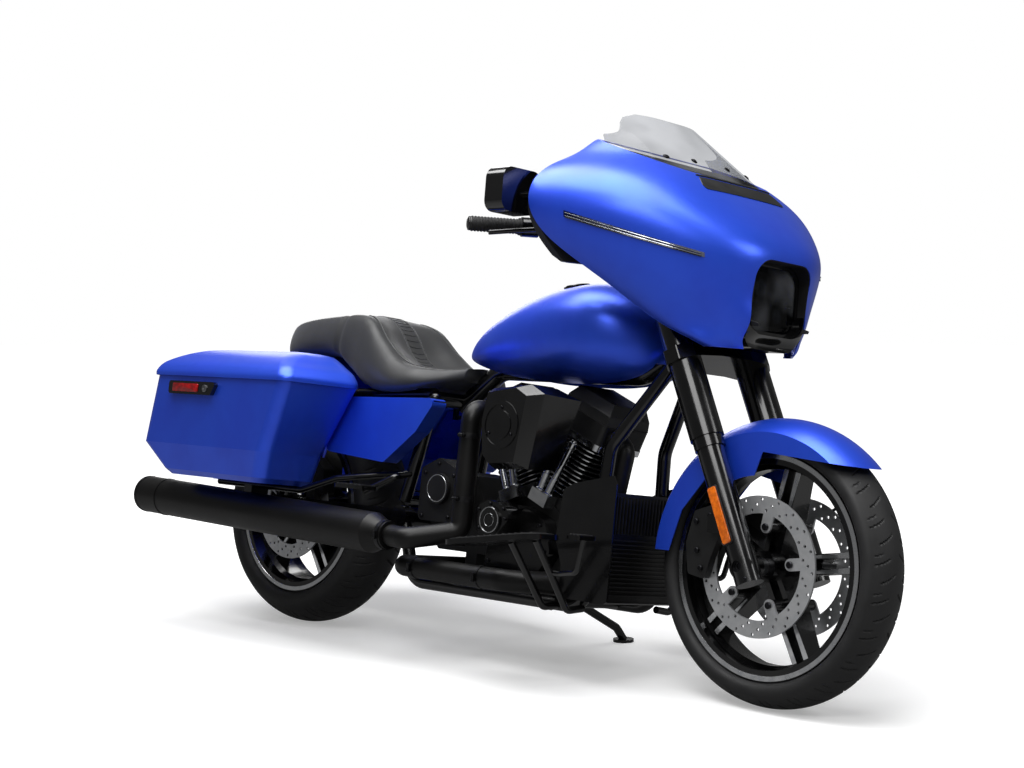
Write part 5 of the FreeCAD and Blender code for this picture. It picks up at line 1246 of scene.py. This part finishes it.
@dataclass(frozen=True)
class Front:
    """What is set into the fairing: lamp, light strips, screen screws, duct lip, gauges and mirror glass."""

    ahead_of_all: float = 1700.0
    lamp_z: float = 930.0
    lamp_face: float = 1548.0
    lamp_half_w: float = 98.0
    lamp_half_h: float = 84.0
    lens_steps: tuple[Pair, ...] = (
        (-4.0, 0.0), (-1.5, 0.0), (0.5, 3.0), (2.6, 16.0), (4.2, 40.0), (4.8, 66.0),
    )
    bowls: tuple[Pair, ...] = ((26.0, 21.0), (-34.0, 16.0))
    bowl_y: float = 34.0
    sleeve_gap: float = 2.5
    sleeve_rear: float = 1494.0
    sleeve_front: float = 1590.0
    strip_rear: Pair = (1240.0, 1086.5)
    strip_run: Pair = (278.0, -78.0)
    screw_places: tuple[float, ...] = (-150.0, -62.0, 62.0, 150.0)
    screw_z: float = 1262.0
    duct_z: float = 1209.5
    gauge_x: float = 1239.6
    gauges: tuple[Triple, ...] = (
        (-118.0, 1164.0, 40.0), (118.0, 1164.0, 40.0), (-178.0, 1114.0, 17.0), (178.0, 1114.0, 17.0),
    )
    dash_at: Triple = (1233.8, 0.0, 1145.0)
    speaker_z: float = 1070.0
    mirror_at: Triple = (1052.2, 413.0, 1142.0)

    def build(self, nodes: dict[str, bpy.types.Object]) -> None:
        """Makes every fitting of the front.

        Args:
            nodes: the frame's objects by name.
        """
        shell = Surface(nodes["fairing_shell"], True)
        self.lamp()
        self.lamp_sleeve(shell)
        self.light_strips(Surface(nodes["turn_strips"], True))
        self.screen_screws(Surface(nodes["windscreen"], True))
        self.duct_lip(shell)
        self.dials()
        self.mirror_glass()

    def lamp(self) -> None:
        """The lens, and the reflectors and light bars behind it."""
        half_w, half_h = self.lamp_half_w - 9.6, self.lamp_half_h - 9.6
        lens = Draft()
        rings = []
        for depth, inset in self.lens_steps:
            outline = rounded(half_w - inset, half_h - inset, max(2.0, 35 - 0.5 * inset))
            rings.append([Vector((self.lamp_face - 4 + depth, y, self.lamp_z + z)) for y, z in outline])
        lens.skin(rings)
        lens.piece("lamp_lens", Body.STEERING, CLEAR_LENS, 40)
        bowls, bars = Draft(), Draft()
        floor = self.lamp_face - 26
        for z, radius in self.bowls:
            bowl = [(4.2, 1), (4.6, radius * 0.5), (8, radius * 0.8), (16.5, radius), (16.5, radius + 2)]
            for y in (-self.bowl_y, self.bowl_y):
                bowls.lathe(bowl, (floor, y, self.lamp_z + z), AHEAD, 32)
                bars.slab(rounded(radius * 0.8, 2.2, 2), (floor + 9, y, self.lamp_z + z), LEFT, UP, 2.5)
        for side in (-1, 1):
            reach = side * (half_w - 12)
            bow = [(floor + 19, reach * t, self.lamp_z - 6 - 2 * t * t) for t in (0.06, 0.4, 0.7, 1)]
            bars.tube(bow, 1.8, 8)
        bowls.piece("lamp_reflectors", Body.STEERING, LAMP_BOWL)
        bars.piece("lamp_light_bars", Body.STEERING, FROSTED_LIGHT)

    def lamp_sleeve(self, shell: Surface) -> None:
        """The black sleeve that lines the fairing's opening round the lamp.

        Args:
            shell: the fairing's surface.
        """
        opening = rounded(self.lamp_half_w + self.sleeve_gap, self.lamp_half_h + self.sleeve_gap, 43.5, 10)
        outline = sorted((p for p in opening if p[1] > -70), key=lambda p: math.atan2(p[0], p[1] + 1.0))
        front = []
        for y, z in outline:
            spot, _ = shell.hit((self.ahead_of_all, y * 1.04, self.lamp_z + z * 1.04), -AHEAD)
            front.append(min(self.sleeve_front, spot.x) - 1.2)
        rings = []
        for inset, back in ((0.0, True), (0.0, False), (1.6, False), (1.6, True)):
            narrow, low = 1 - inset / 100, 1 - inset / 90
            rings.append([
                (self.sleeve_rear if back else x, y * narrow, self.lamp_z + z * low)
                for x, (y, z) in zip(front, outline)
            ])
        draft = Draft()
        draft.skin(rings, closed=False, looped=True)
        draft.piece("lamp_sleeve", Body.STEERING, TEXTURED_ABS)

    def light_strips(self, strips: Surface) -> None:
        """Two bright lines and two dark ones along each flank's strip.

        Args:
            strips: the strips' surface.
        """
        lines, bezel = Draft(), Draft()
        rows = ((3.6, 1.3, lines), (-3.4, 1.3, lines), (8.2, 1.5, bezel), (-6.8, 1.5, bezel))
        for rise, radius, draft in rows:
            starts = []
            for t in (0.015 + 0.97 * i / 32 for i in range(33)):
                x, z = (foot + run * t for foot, run in zip(self.strip_rear, self.strip_run))
                starts.append((x, -600, z + rise * (1 - 0.25 * t)))
            path = [p for p in strips.line(starts, LEFT, 0.6) if p.y > -480]
            if len(path) > 2:
                draft.tube(path, radius, 8)
        lines.mirrored()
        bezel.mirrored()
        lines.piece("flank_light_lines", Body.STEERING, LAMP_BOWL)
        bezel.piece("flank_light_bezels", Body.STEERING, GLOSS_PLASTIC)

    def screen_screws(self, screen: Surface) -> None:
        """Four screws that hold the screen.

        Args:
            screen: the screen's surface.
        """
        draft = Draft()
        for y in self.screw_places:
            spot, normal = screen.hit((self.ahead_of_all, y, self.screw_z - abs(y) * 0.04), -AHEAD)
            draft.bolt(spot - normal * 0.3, normal, 6.0, 3.4)
            draft.lathe([(0, 8.4), (1.2, 8.4), (1.6, 7.6)], spot - normal * 0.2, normal, 20)
        draft.piece("screen_screws", Body.STEERING, BLACK_OXIDE)

    def duct_lip(self, shell: Surface) -> None:
        """The raised lip over the air slot.

        Args:
            shell: the fairing's surface.
        """
        draft = Draft()
        path = shell.line([(self.ahead_of_all, y, self.duct_z) for y in range(-136, 137, 8)], -AHEAD, 0.8)
        draft.tube(path, 2.4, 8)
        draft.piece("duct_lip", Body.STEERING, TEXTURED_ABS)

    def dials(self) -> None:
        """The gauges' faces and needles, the screen and the speakers' grilles behind the fairing."""
        faces, needles, glass, mesh = Draft(), Draft(), Draft(), Draft()
        for y, z, radius in self.gauges:
            faces.lathe([(0, radius), (1.0, radius), (1.0, radius * 0.1)], (self.gauge_x, y, z), -AHEAD, 40)
            marks = 24 if radius > 30 else 10
            hub = Vector((self.gauge_x - 1.2, y, z))
            for k in range(marks):
                angle = math.radians(-40 + 260 * k / (marks - 1))
                ray = Vector((0, math.cos(angle), math.sin(angle)))
                needles.tube([hub + ray * radius * 0.82, hub + ray * radius * 0.95], 0.5, 4)
            pivot = hub - AHEAD * 0.6
            needles.tube([pivot, pivot + Vector((0, radius * 0.5, radius * 0.55))], [1.1, 0.4], 6)
        glass.slab(rounded(60, 36, 4), self.dash_at, -LEFT, UP, 1.6, 0.6)
        for side in (-1, 1):
            low, high = Vector((1146, side * 306, self.speaker_z)), Vector((1200, side * 334, self.speaker_z))
            axis = (high - low).normalized()
            face = low + axis * 12
            mesh.lathe([(0, 49.4), (-2.5, 48), (-5.0, 30), (-6.0, 1)], face, axis, 40)
            for radius in (12, 20, 28, 36, 44):
                mesh.lathe([(-6.4 + radius * 0.03, radius), (-7.4 + radius * 0.03, radius + 1.4),
                            (-6.0 + radius * 0.03, radius + 2.8)], face, axis, 40)
        faces.piece("gauge_faces", Body.STEERING, GLOSS_PLASTIC)
        needles.piece("gauge_needles", Body.STEERING, FROSTED_LIGHT)
        glass.piece("dash_screen", Body.STEERING, GLOSS_PLASTIC)
        mesh.piece("speaker_grilles", Body.STEERING, TEXTURED_ABS)

    def mirror_glass(self) -> None:
        """The mirrors' glass, on their rear faces."""
        draft = Draft()
        x, y, z = self.mirror_at
        for side in (-1, 1):
            draft.slab(rounded(52, 43, 18), (x, side * y, z), -LEFT, UP, 1.2, 0.6)
        draft.piece("mirror_glass", Body.STEERING, MIRROR_GLASS)


# Controls


@dataclass(frozen=True)
class Controls:
    """Ribbed grips and switches at the bar's ends."""

    grip_end: Triple = (955.0, 430.0, 1070.0)
    sweep_deg: float = 30.0
    length: float = 128.0
    ribs: int = 15

    def inward(self) -> Vector:
        """The direction along the left grip towards the middle."""
        sweep = math.radians(self.sweep_deg)
        return Vector((math.sin(sweep), -math.cos(sweep), 0.04)).normalized()

    def build(self) -> None:
        """Makes the grips' ribs and the switches."""
        end, along = Vector(self.grip_end), self.inward()
        ribs, caps, switches = Draft(), Draft(), Draft()
        for k in range(self.ribs):
            s = 8 + k * (self.length - 18) / (self.ribs - 1)
            ribs.lathe([(s - 2.2, 17), (s - 1.5, 18.6), (s + 1.5, 18.6), (s + 2.2, 17)], end, along, 28)
        collar = [(self.length - 5, 16.9), (self.length - 5, 21), (self.length, 21), (self.length, 16.9)]
        ribs.lathe(collar, end, along, 32)
        caps.lathe([(-3.5, 1), (-3.5, 12), (-1.5, 16.4), (4, 17.2), (4, 1)], end, along, 32)
        up = along.cross(AHEAD).normalized()
        up = up if up.z > 0 else -up
        rear = up.cross(along).normalized()
        rear = rear if rear.x < 0 else -rear
        for k, lift in enumerate((9, -3, -13)):
            spot = end + along * (self.length + 14 + 5 * k) + rear * 22.5 + up * lift
            switches.slab(rounded(7.5, 4, 2), spot, along, up, 5.0, 1.2)
        switches.slab(rounded(16, 17, 6), end + along * (self.length + 22) + rear * 20, along, up, 3.0, 1.0)
        for draft in (ribs, caps, switches):
            draft.mirrored()
        ribs.piece("grip_ribs", Body.STEERING, SOFT_RUBBER)
        caps.piece("grip_caps", Body.STEERING, GLOSS_ENAMEL)
        switches.piece("bar_switches", Body.STEERING, TEXTURED_ABS)


# Engine and exhaust


@dataclass(frozen=True)
class Engine:
    """Cut fin edges, gasket bands, cover rings, screws and pushrod sleeves of the V-twin."""

    crank_x: float = 925.0
    crank_z: float = 300.0
    half_v_deg: float = 22.5
    fins: int = 12
    fin_pitch: float = 12.0
    fin_half: float = 82.0
    fin_round: float = 45.0
    deck: float = 150.0
    barrel: float = 155.0
    head: float = 62.0
    cam_ring: Pair = (888.0, 356.0)
    gearbox_ring: Pair = (650.0, 420.0)
    sprocket: Pair = (665.0, 334.0)
    right_screws: tuple[tuple[float, float, float, tuple[Pair, ...]], ...] = (
        (196.0, 4.6, 4.2, ((930, 386), (938, 362), (893, 316), (852, 334), (846, 380), (884, 396))),
        (130.0, 5.0, 5.0, ((830, 252), (884, 226), (974, 226), (1018, 292), (996, 354), (930, 388))),
        (148.0, 5.0, 5.0, ((592, 346), (690, 348), (698, 456), (640, 484), (592, 458))),
    )
    primary_y: float = 166.0
    intake: Pair = (958.0, 590.0)
    intake_y: float = 264.0

    def build(self) -> None:
        """Makes the bright and the dark trim."""
        self.fin_edges()
        self.bands()
        self.covers()
        self.air_cleaner()
        self.pushrod_sleeves()

    def turned(self, tilt: int, point: Point) -> Vector:
        """A point on a cylinder's own axes, moved onto the machine and kept in its half of the V.

        Args:
            tilt: 1 for the front cylinder, -1 for the rear.
            point: the point, with z up the cylinder from the crank.

        Returns:
            Its place.
        """
        angle = math.radians(self.half_v_deg) * tilt
        x, y, z = point
        spot = Vector((
            self.crank_x + x * math.cos(angle) + z * math.sin(angle), y,
            self.crank_z - x * math.sin(angle) + z * math.cos(angle),
        ))
        keep = self.crank_x + 1.2 * tilt
        spot.x = max(spot.x, keep) if tilt > 0 else min(spot.x, keep)
        return spot

    def fin_edges(self) -> None:
        """The edge of each fin, cut bright."""
        draft = Draft()
        for tilt in (-1, 1):
            for k in range(self.fins):
                low = self.deck + 6.3 + k * self.fin_pitch
                rings = []
                for z, proud in ((0.2, -1), (0.5, 0.5), (3.0, 0.5), (3.3, -1)):
                    outline = rounded(self.fin_half + proud, self.fin_half + proud, self.fin_round)
                    rings.append([self.turned(tilt, (x, y, low + z)) for x, y in outline])
                draft.skin(rings, capped=False, looped=True)
        draft.piece("fin_edges", Body.CHASSIS, CUT_ALUMINIUM)

    def bands(self) -> None:
        """The bright joint between barrel and head, and the rocker covers' screws."""
        joint, screws = Draft(), Draft()
        for tilt in (-1, 1):
            top = self.deck + self.barrel
            rings = []
            for z, half in ((-5, 80), (-5, 85.4), (11, 85.4), (11, 80)):
                rings.append([self.turned(tilt, (x, y, top + z)) for x, y in rounded(half, half, 17)])
            joint.skin(rings, capped=False, looped=True)
            up = self.turned(tilt, (0, 0, 600)) - self.turned(tilt, (0, 0, 500))
            for x, y in ((-52, -52), (52, -52), (52, 52), (-52, 52)):
                if x * tilt > 0:
                    screws.bolt(self.turned(tilt, (x, y, top + self.head + 51)), up, 6.5, 6)
                screws.bolt(self.turned(tilt, (70 * tilt, y, top + self.head + 24)), up, 5.0, 5)
        joint.piece("head_joint_bands", Body.CHASSIS, CUT_ALUMINIUM)
        screws.piece("rocker_cover_screws", Body.CHASSIS, BLACK_OXIDE)

    def covers(self) -> None:
        """Screws and plain rings on the cam, primary and gearbox covers."""
        ring, screws = Draft(), Draft()
        crank = (self.crank_x, self.crank_z)
        for (x, z), way, band, steps in (
            (self.cam_ring, -LEFT, ring_band(201, 0.8, 29.5, 33.0), 48),
            (self.cam_ring, -LEFT, ring_band(201, 0.6, 15.0, 17.0), 40),
            (self.gearbox_ring, -LEFT, ring_band(160, 0.7, 33.0, 36.5), 48),
            (crank, LEFT, ring_band(self.primary_y, 0.8, 44.0, 48.0), 48),
        ):
            ring.lathe(band, (x, 0, z), way, steps, looped=True)
        for out, radius, height, places in self.right_screws:
            for x, z in places:
                screws.bolt((x, -out, z), -LEFT, radius, height)
        for (x, z), radius, angles in (
            (crank, 96, [FULL_TURN * k / 10 for k in range(10)]),
            (self.sprocket, 67, [math.pi * (1 + k / 4) for k in range(5)]),
        ):
            for angle in angles:
                spot = (x + radius * math.sin(angle), self.primary_y, z + radius * math.cos(angle))
                screws.bolt(spot, LEFT, 4.6, 4.2)
        ring.piece("cover_rings", Body.CHASSIS, CUT_ALUMINIUM)
        screws.piece("cover_screws", Body.CHASSIS, BLACK_OXIDE)

    def pushrod_sleeves(self) -> None:
        """Bright sleeves with their collars over the pushrod tubes."""
        draft = Draft()
        for tilt in (-1, 1):
            for x in (-14, 14):
                foot = self.turned(tilt, (x, -110.5, self.deck - 2))
                top = self.turned(tilt, (x * 1.6, -102.5, self.deck + self.barrel - 6))
                run = (top - foot).length
                sleeve = [(0, 13), (4, 13), (6, 10.4), (run * 0.3, 10.4), (run * 0.3 + 2, 8.6),
                          (run * 0.86, 8.6), (run * 0.88, 10.8), (run * 0.97, 10.8), (run * 0.98, 8)]
                draft.lathe(sleeve, foot, top - foot, 24)
        draft.piece("pushrod_sleeves", Body.CHASSIS, CUT_ALUMINIUM)

    def air_cleaner(self) -> None:
        """The round ring and the screws on the intake's outer face."""
        draft, screws = Draft(), Draft()
        x, z = self.intake
        centre = (x, 0, z)
        draft.lathe(ring_band(self.intake_y, 2.5, 50, 60), centre, -LEFT, 56, looped=True)
        draft.lathe([(263.5, 36), (266, 35), (266.4, 20), (265.4, 1)], centre, -LEFT, 48)
        for k in range(3):
            angle = FULL_TURN * (k / 3 + 0.25)
            spot = (x + 43 * math.cos(angle), -self.intake_y, z + 43 * math.sin(angle))
            screws.bolt(spot, -LEFT, 4.0, 3.2)
        draft.piece("intake_ring", Body.CHASSIS, GLOSS_ENAMEL)
        screws.piece("intake_screws", Body.CHASSIS, BLACK_OXIDE)


@dataclass(frozen=True)
class Exhaust:
    """Clamps and end rings along the pipes."""

    tail: Triple = (-392.0, 312.0, 320.0)
    right_run: float = 1047.0
    left_run: float = 964.0
    drop: float = 28.0
    end_ring: tuple[Pair, ...] = ((-3, 43.5), (-3.5, 49), (-1, 52.2), (8, 52.8), (8, 51), (0, 44))
    seam_ring: tuple[Pair, ...] = ((93, 52.2), (93, 53.4), (100, 53.4), (100, 52.2))
    pipe_r: float = 27.0
    neck_r: float = 36.5
    pipe_clamps: tuple[tuple[Point, Point], ...] = (
        ((700.0, -250.0, 217.5), AHEAD), ((930.0, -250.0, 217.5), AHEAD),
        ((798.0, -205.0, 560.0), UP), ((798.0, -205.5, 400.0), UP),
    )

    def build(self) -> None:
        """Makes the end rings and the clamps."""
        ends, clamps = Draft(), Draft()
        along = Vector((1, 0, -self.drop / self.right_run)).normalized()
        for side, run in ((-1, self.right_run), (1, self.left_run)):
            tail = Vector((self.tail[0], side * self.tail[1], self.tail[2]))
            for ring in (self.end_ring, self.seam_ring):
                ends.lathe(ring, tail, along, 56, looped=True)
            self.clamp(clamps, tail + along * (run - 14), along, self.neck_r)
        for at, way in self.pipe_clamps:
            self.clamp(clamps, Vector(at), way, self.pipe_r)
        ends.piece("muffler_end_rings", Body.CHASSIS, CERAMIC_COAT)
        clamps.piece("pipe_clamps", Body.CHASSIS, PLATED_STEEL_DARK)

    def clamp(self, draft: Draft, at: Vector, along: Vector, radius: float) -> None:
        """A band with its screw round a pipe.

        Args:
            draft: the drawing that gets it.
            at: its middle.
            along: the pipe's direction.
            radius: the pipe's radius.
        """
        band = [(-7, radius), (-7, radius + 1.4), (7, radius + 1.4), (7, radius)]
        draft.lathe(band, at, along, 40, looped=True)
        out = along.cross(UP if abs(along.z) < 0.9 else AHEAD).normalized()
        out = out if out.y * at.y > 0 else -out
        seat = at + out * (radius + 1.0)
        across = along.cross(out).normalized()
        draft.tube([seat - across * 9 + out * 3.5, seat + across * 9 + out * 3.5], 4.2, 10)
        draft.bolt(seat + across * 9 + out * 3.5, across, 4.6, 4, socket=False)


# Fork, boards and small parts


@dataclass(frozen=True)
class Fittings:
    """Reflectors, wheel and brake screws, axle caps, board pads, the filler cap and the shocks' springs."""

    spread: float = 124.0
    caliper_screws: tuple[Pair, ...] = ((-128, 104), (-160, 22), (-168, 88), (-146, -18))
    board: Triple = (930.0, 292.0, 290.0)
    board_tilt_deg: float = 8.0
    board_ribs: int = 13
    peg: Triple = (416.0, 268.0, 408.0)
    pedal: Triple = (1270.0, 297.0, 348.0)
    cap_at: Pair = (985.0, -62.0)
    shock_foot: Triple = (42.0, 166.0, 354.0)
    shock_head: Triple = (150.0, 166.0, 620.0)
    coil_turns: float = 7.5
    coil_r: float = 25.5

    def build(self, nodes: dict[str, bpy.types.Object]) -> None:
        """Makes every small part.

        Args:
            nodes: the frame's objects by name.
        """
        self.reflectors()
        self.brake_screws()
        self.board_pads()
        self.tank_cap(Surface(nodes["fuel_tank"], False))
        self.shock_springs()

    def fork(self, side: int, s: float, ahead: float = 0.0, out: float = 0.0) -> Vector:
        """A point by a fork leg.

        Args:
            side: -1 on the right, 1 on the left.
            s: the distance up the leg from the axle.
            ahead: the distance in front of the leg's middle.
            out: the distance outside it.

        Returns:
            The place.
        """
        up = STANCE.steer_axis()
        x, z = FRONT_WHEEL.axle
        return Vector((x, side * (self.spread + out), z)) + up * s + LEFT.cross(up) * ahead

    def reflectors(self) -> None:
        """Amber reflectors on the outside of the fork, with their black backs."""
        lens, back = Draft(), Draft()
        for side in (-1, 1):
            foot, top = self.fork(side, 122.0, -2.0, 31.0), self.fork(side, 190.0, -2.0, 31.0)
            up = (top - foot).normalized()
            across = up.cross(Vector((0, side, 0)))
            back.slab(rounded(14, 70, 6), foot, across, up, 4.0, 1.0)
            lens.slab(rounded(11.5, 67, 4.5), foot + Vector((0, side * 4, 0)), across, up, 3.0, 1.2)
        lens.piece("fork_reflectors", Body.STEERING, AMBER_ACRYLIC)
        back.piece("fork_reflector_backs", Body.STEERING, TEXTURED_ABS)

    def brake_screws(self) -> None:
        """Disc, caliper and axle screws."""
        wheel, fork, rear = Draft(), Draft(), Draft()
        front_x, front_z = FRONT_WHEEL.axle
        rear_x, rear_z = REAR_WHEEL.axle
        for side in (-1, 1):
            out = LEFT * side
            for spot in FRONT_WHEEL.disc_places(92, side * 80.5):
                wheel.bolt(spot, out, 8.0, 6)
            for dx, dz in self.caliper_screws:
                fork.bolt((front_x + dx, side * 102, front_z + dz), out, 6.5, 6)
            fork.lathe([(0, 9), (1, 20), (5, 20), (7, 17), (7, 8.6), (-12, 8.4)],
                       (front_x, side * 143.6, front_z), out, 32)
            for ahead in (-4, 12):
                fork.bolt(self.fork(side, -34, ahead, 26), out, 4.5, 5)
            rear.lathe([(0, 13), (0, 21), (10, 21), (12, 18), (12, 6)], (rear_x, side * 150, rear_z), out, 6)
        for spot in REAR_WHEEL.disc_places(82, -94.5):
            rear.bolt(spot, -LEFT, 8.0, 6)
        wheel.piece("front_disc_screws", Body.FRONT_WHEEL, BLACK_OXIDE)
        fork.piece("fork_screws", Body.STEERING, BLACK_OXIDE)
        rear.piece("rear_wheel_screws", Body.REAR_WHEEL, BLACK_OXIDE)

    def board_pads(self) -> None:
        """Rubber pads with raised ribs on the boards, the pegs and the pedals."""
        tilt = math.radians(self.board_tilt_deg)
        along, up = Vector((math.cos(tilt), 0, math.sin(tilt))), Vector((-math.sin(tilt), 0, math.cos(tilt)))
        corner = Vector(self.board) + up * 12.0
        draft = Draft()
        middle = corner + along * 150 + LEFT * 56
        draft.slab(rounded(140, 47, 28), middle, along, LEFT, 3.0, 1.2)
        for k in range(self.board_ribs):
            spot = middle + along * (-120 + 20 * k) + up * 2.6
            half = 38 if 0 < k < self.board_ribs - 1 else 28
            draft.slab(rounded(3.4, half, 3.0), spot, along, LEFT, 3.2, 1.0)
        for k in range(6):
            draft.slab(rounded(3.2, 28, 3.0), Vector(self.peg) + AHEAD * (17 * k), AHEAD, LEFT, 3.0, 1.0)
        for k in range(3):
            draft.slab(rounded(3.0, 26, 3.0), Vector(self.pedal) + AHEAD * (11 * k), AHEAD, LEFT, 2.6, 0.8)
        draft.mirrored()
        draft.piece("board_pads", Body.CHASSIS, SOFT_RUBBER)

    def tank_cap(self, tank: Surface) -> None:
        """The flush filler cap.

        Args:
            tank: the tank's surface.
        """
        draft = Draft()
        spot, normal = tank.hit((*self.cap_at, 1300), -UP)
        draft.lathe([(-2, 34), (3.0, 34), (5.0, 31.5), (5.4, 24), (4.4, 22), (4.4, 1)], spot, normal, 48)
        draft.piece("tank_cap", Body.CHASSIS, GLOSS_ENAMEL)

    def shock_springs(self) -> None:
        """The coils round both rear shock absorbers."""
        low, high = Vector(self.shock_foot), Vector(self.shock_head)
        along = (high - low).normalized()
        side = along.orthogonal().normalized()
        other = along.cross(side)
        coil = []
        for k in range(151):
            angle = FULL_TURN * self.coil_turns * k / 150
            spoke = side * math.cos(angle) + other * math.sin(angle)
            coil.append(low + along * (44 + 142 * k / 150) + spoke * self.coil_r)
        draft = Draft()
        draft.tube(coil, 3.6, 8)
        draft.mirrored()
        draft.piece("shock_springs", Body.CHASSIS, GLOSS_ENAMEL)


FRONT_WHEEL = Wheel("front", Body.FRONT_WHEEL, axle=(1625.0, 319.5), radius=319.5, width=130.0, crown=84.0,
                    lip=257.0, rim_width=106.0, blade_foot=38.4)
REAR_WHEEL = Wheel("rear", Body.REAR_WHEEL, axle=(0.0, 327.6), radius=327.6, width=180.0, crown=112.0,
                   lip=242.0, rim_width=152.0, blade_foot=54.6)


def main() -> None:
    """Builds every sub-assembly."""
    logging.basicConfig(level=logging.INFO, format="%(name)s %(message)s")
    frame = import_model()
    Studio().build()
    nodes = frame["nodes"]
    dress_nodes(nodes)
    FRONT_WHEEL.build()
    REAR_WHEEL.build()
    Saddle().build()
    Luggage().build()
    Front().build(nodes)
    Controls().build()
    Engine().build()
    Exhaust().build()
    Fittings().build(nodes)
    bpy.context.scene.view_settings.view_transform = "Standard"


if __name__ == "__main__":
    main()
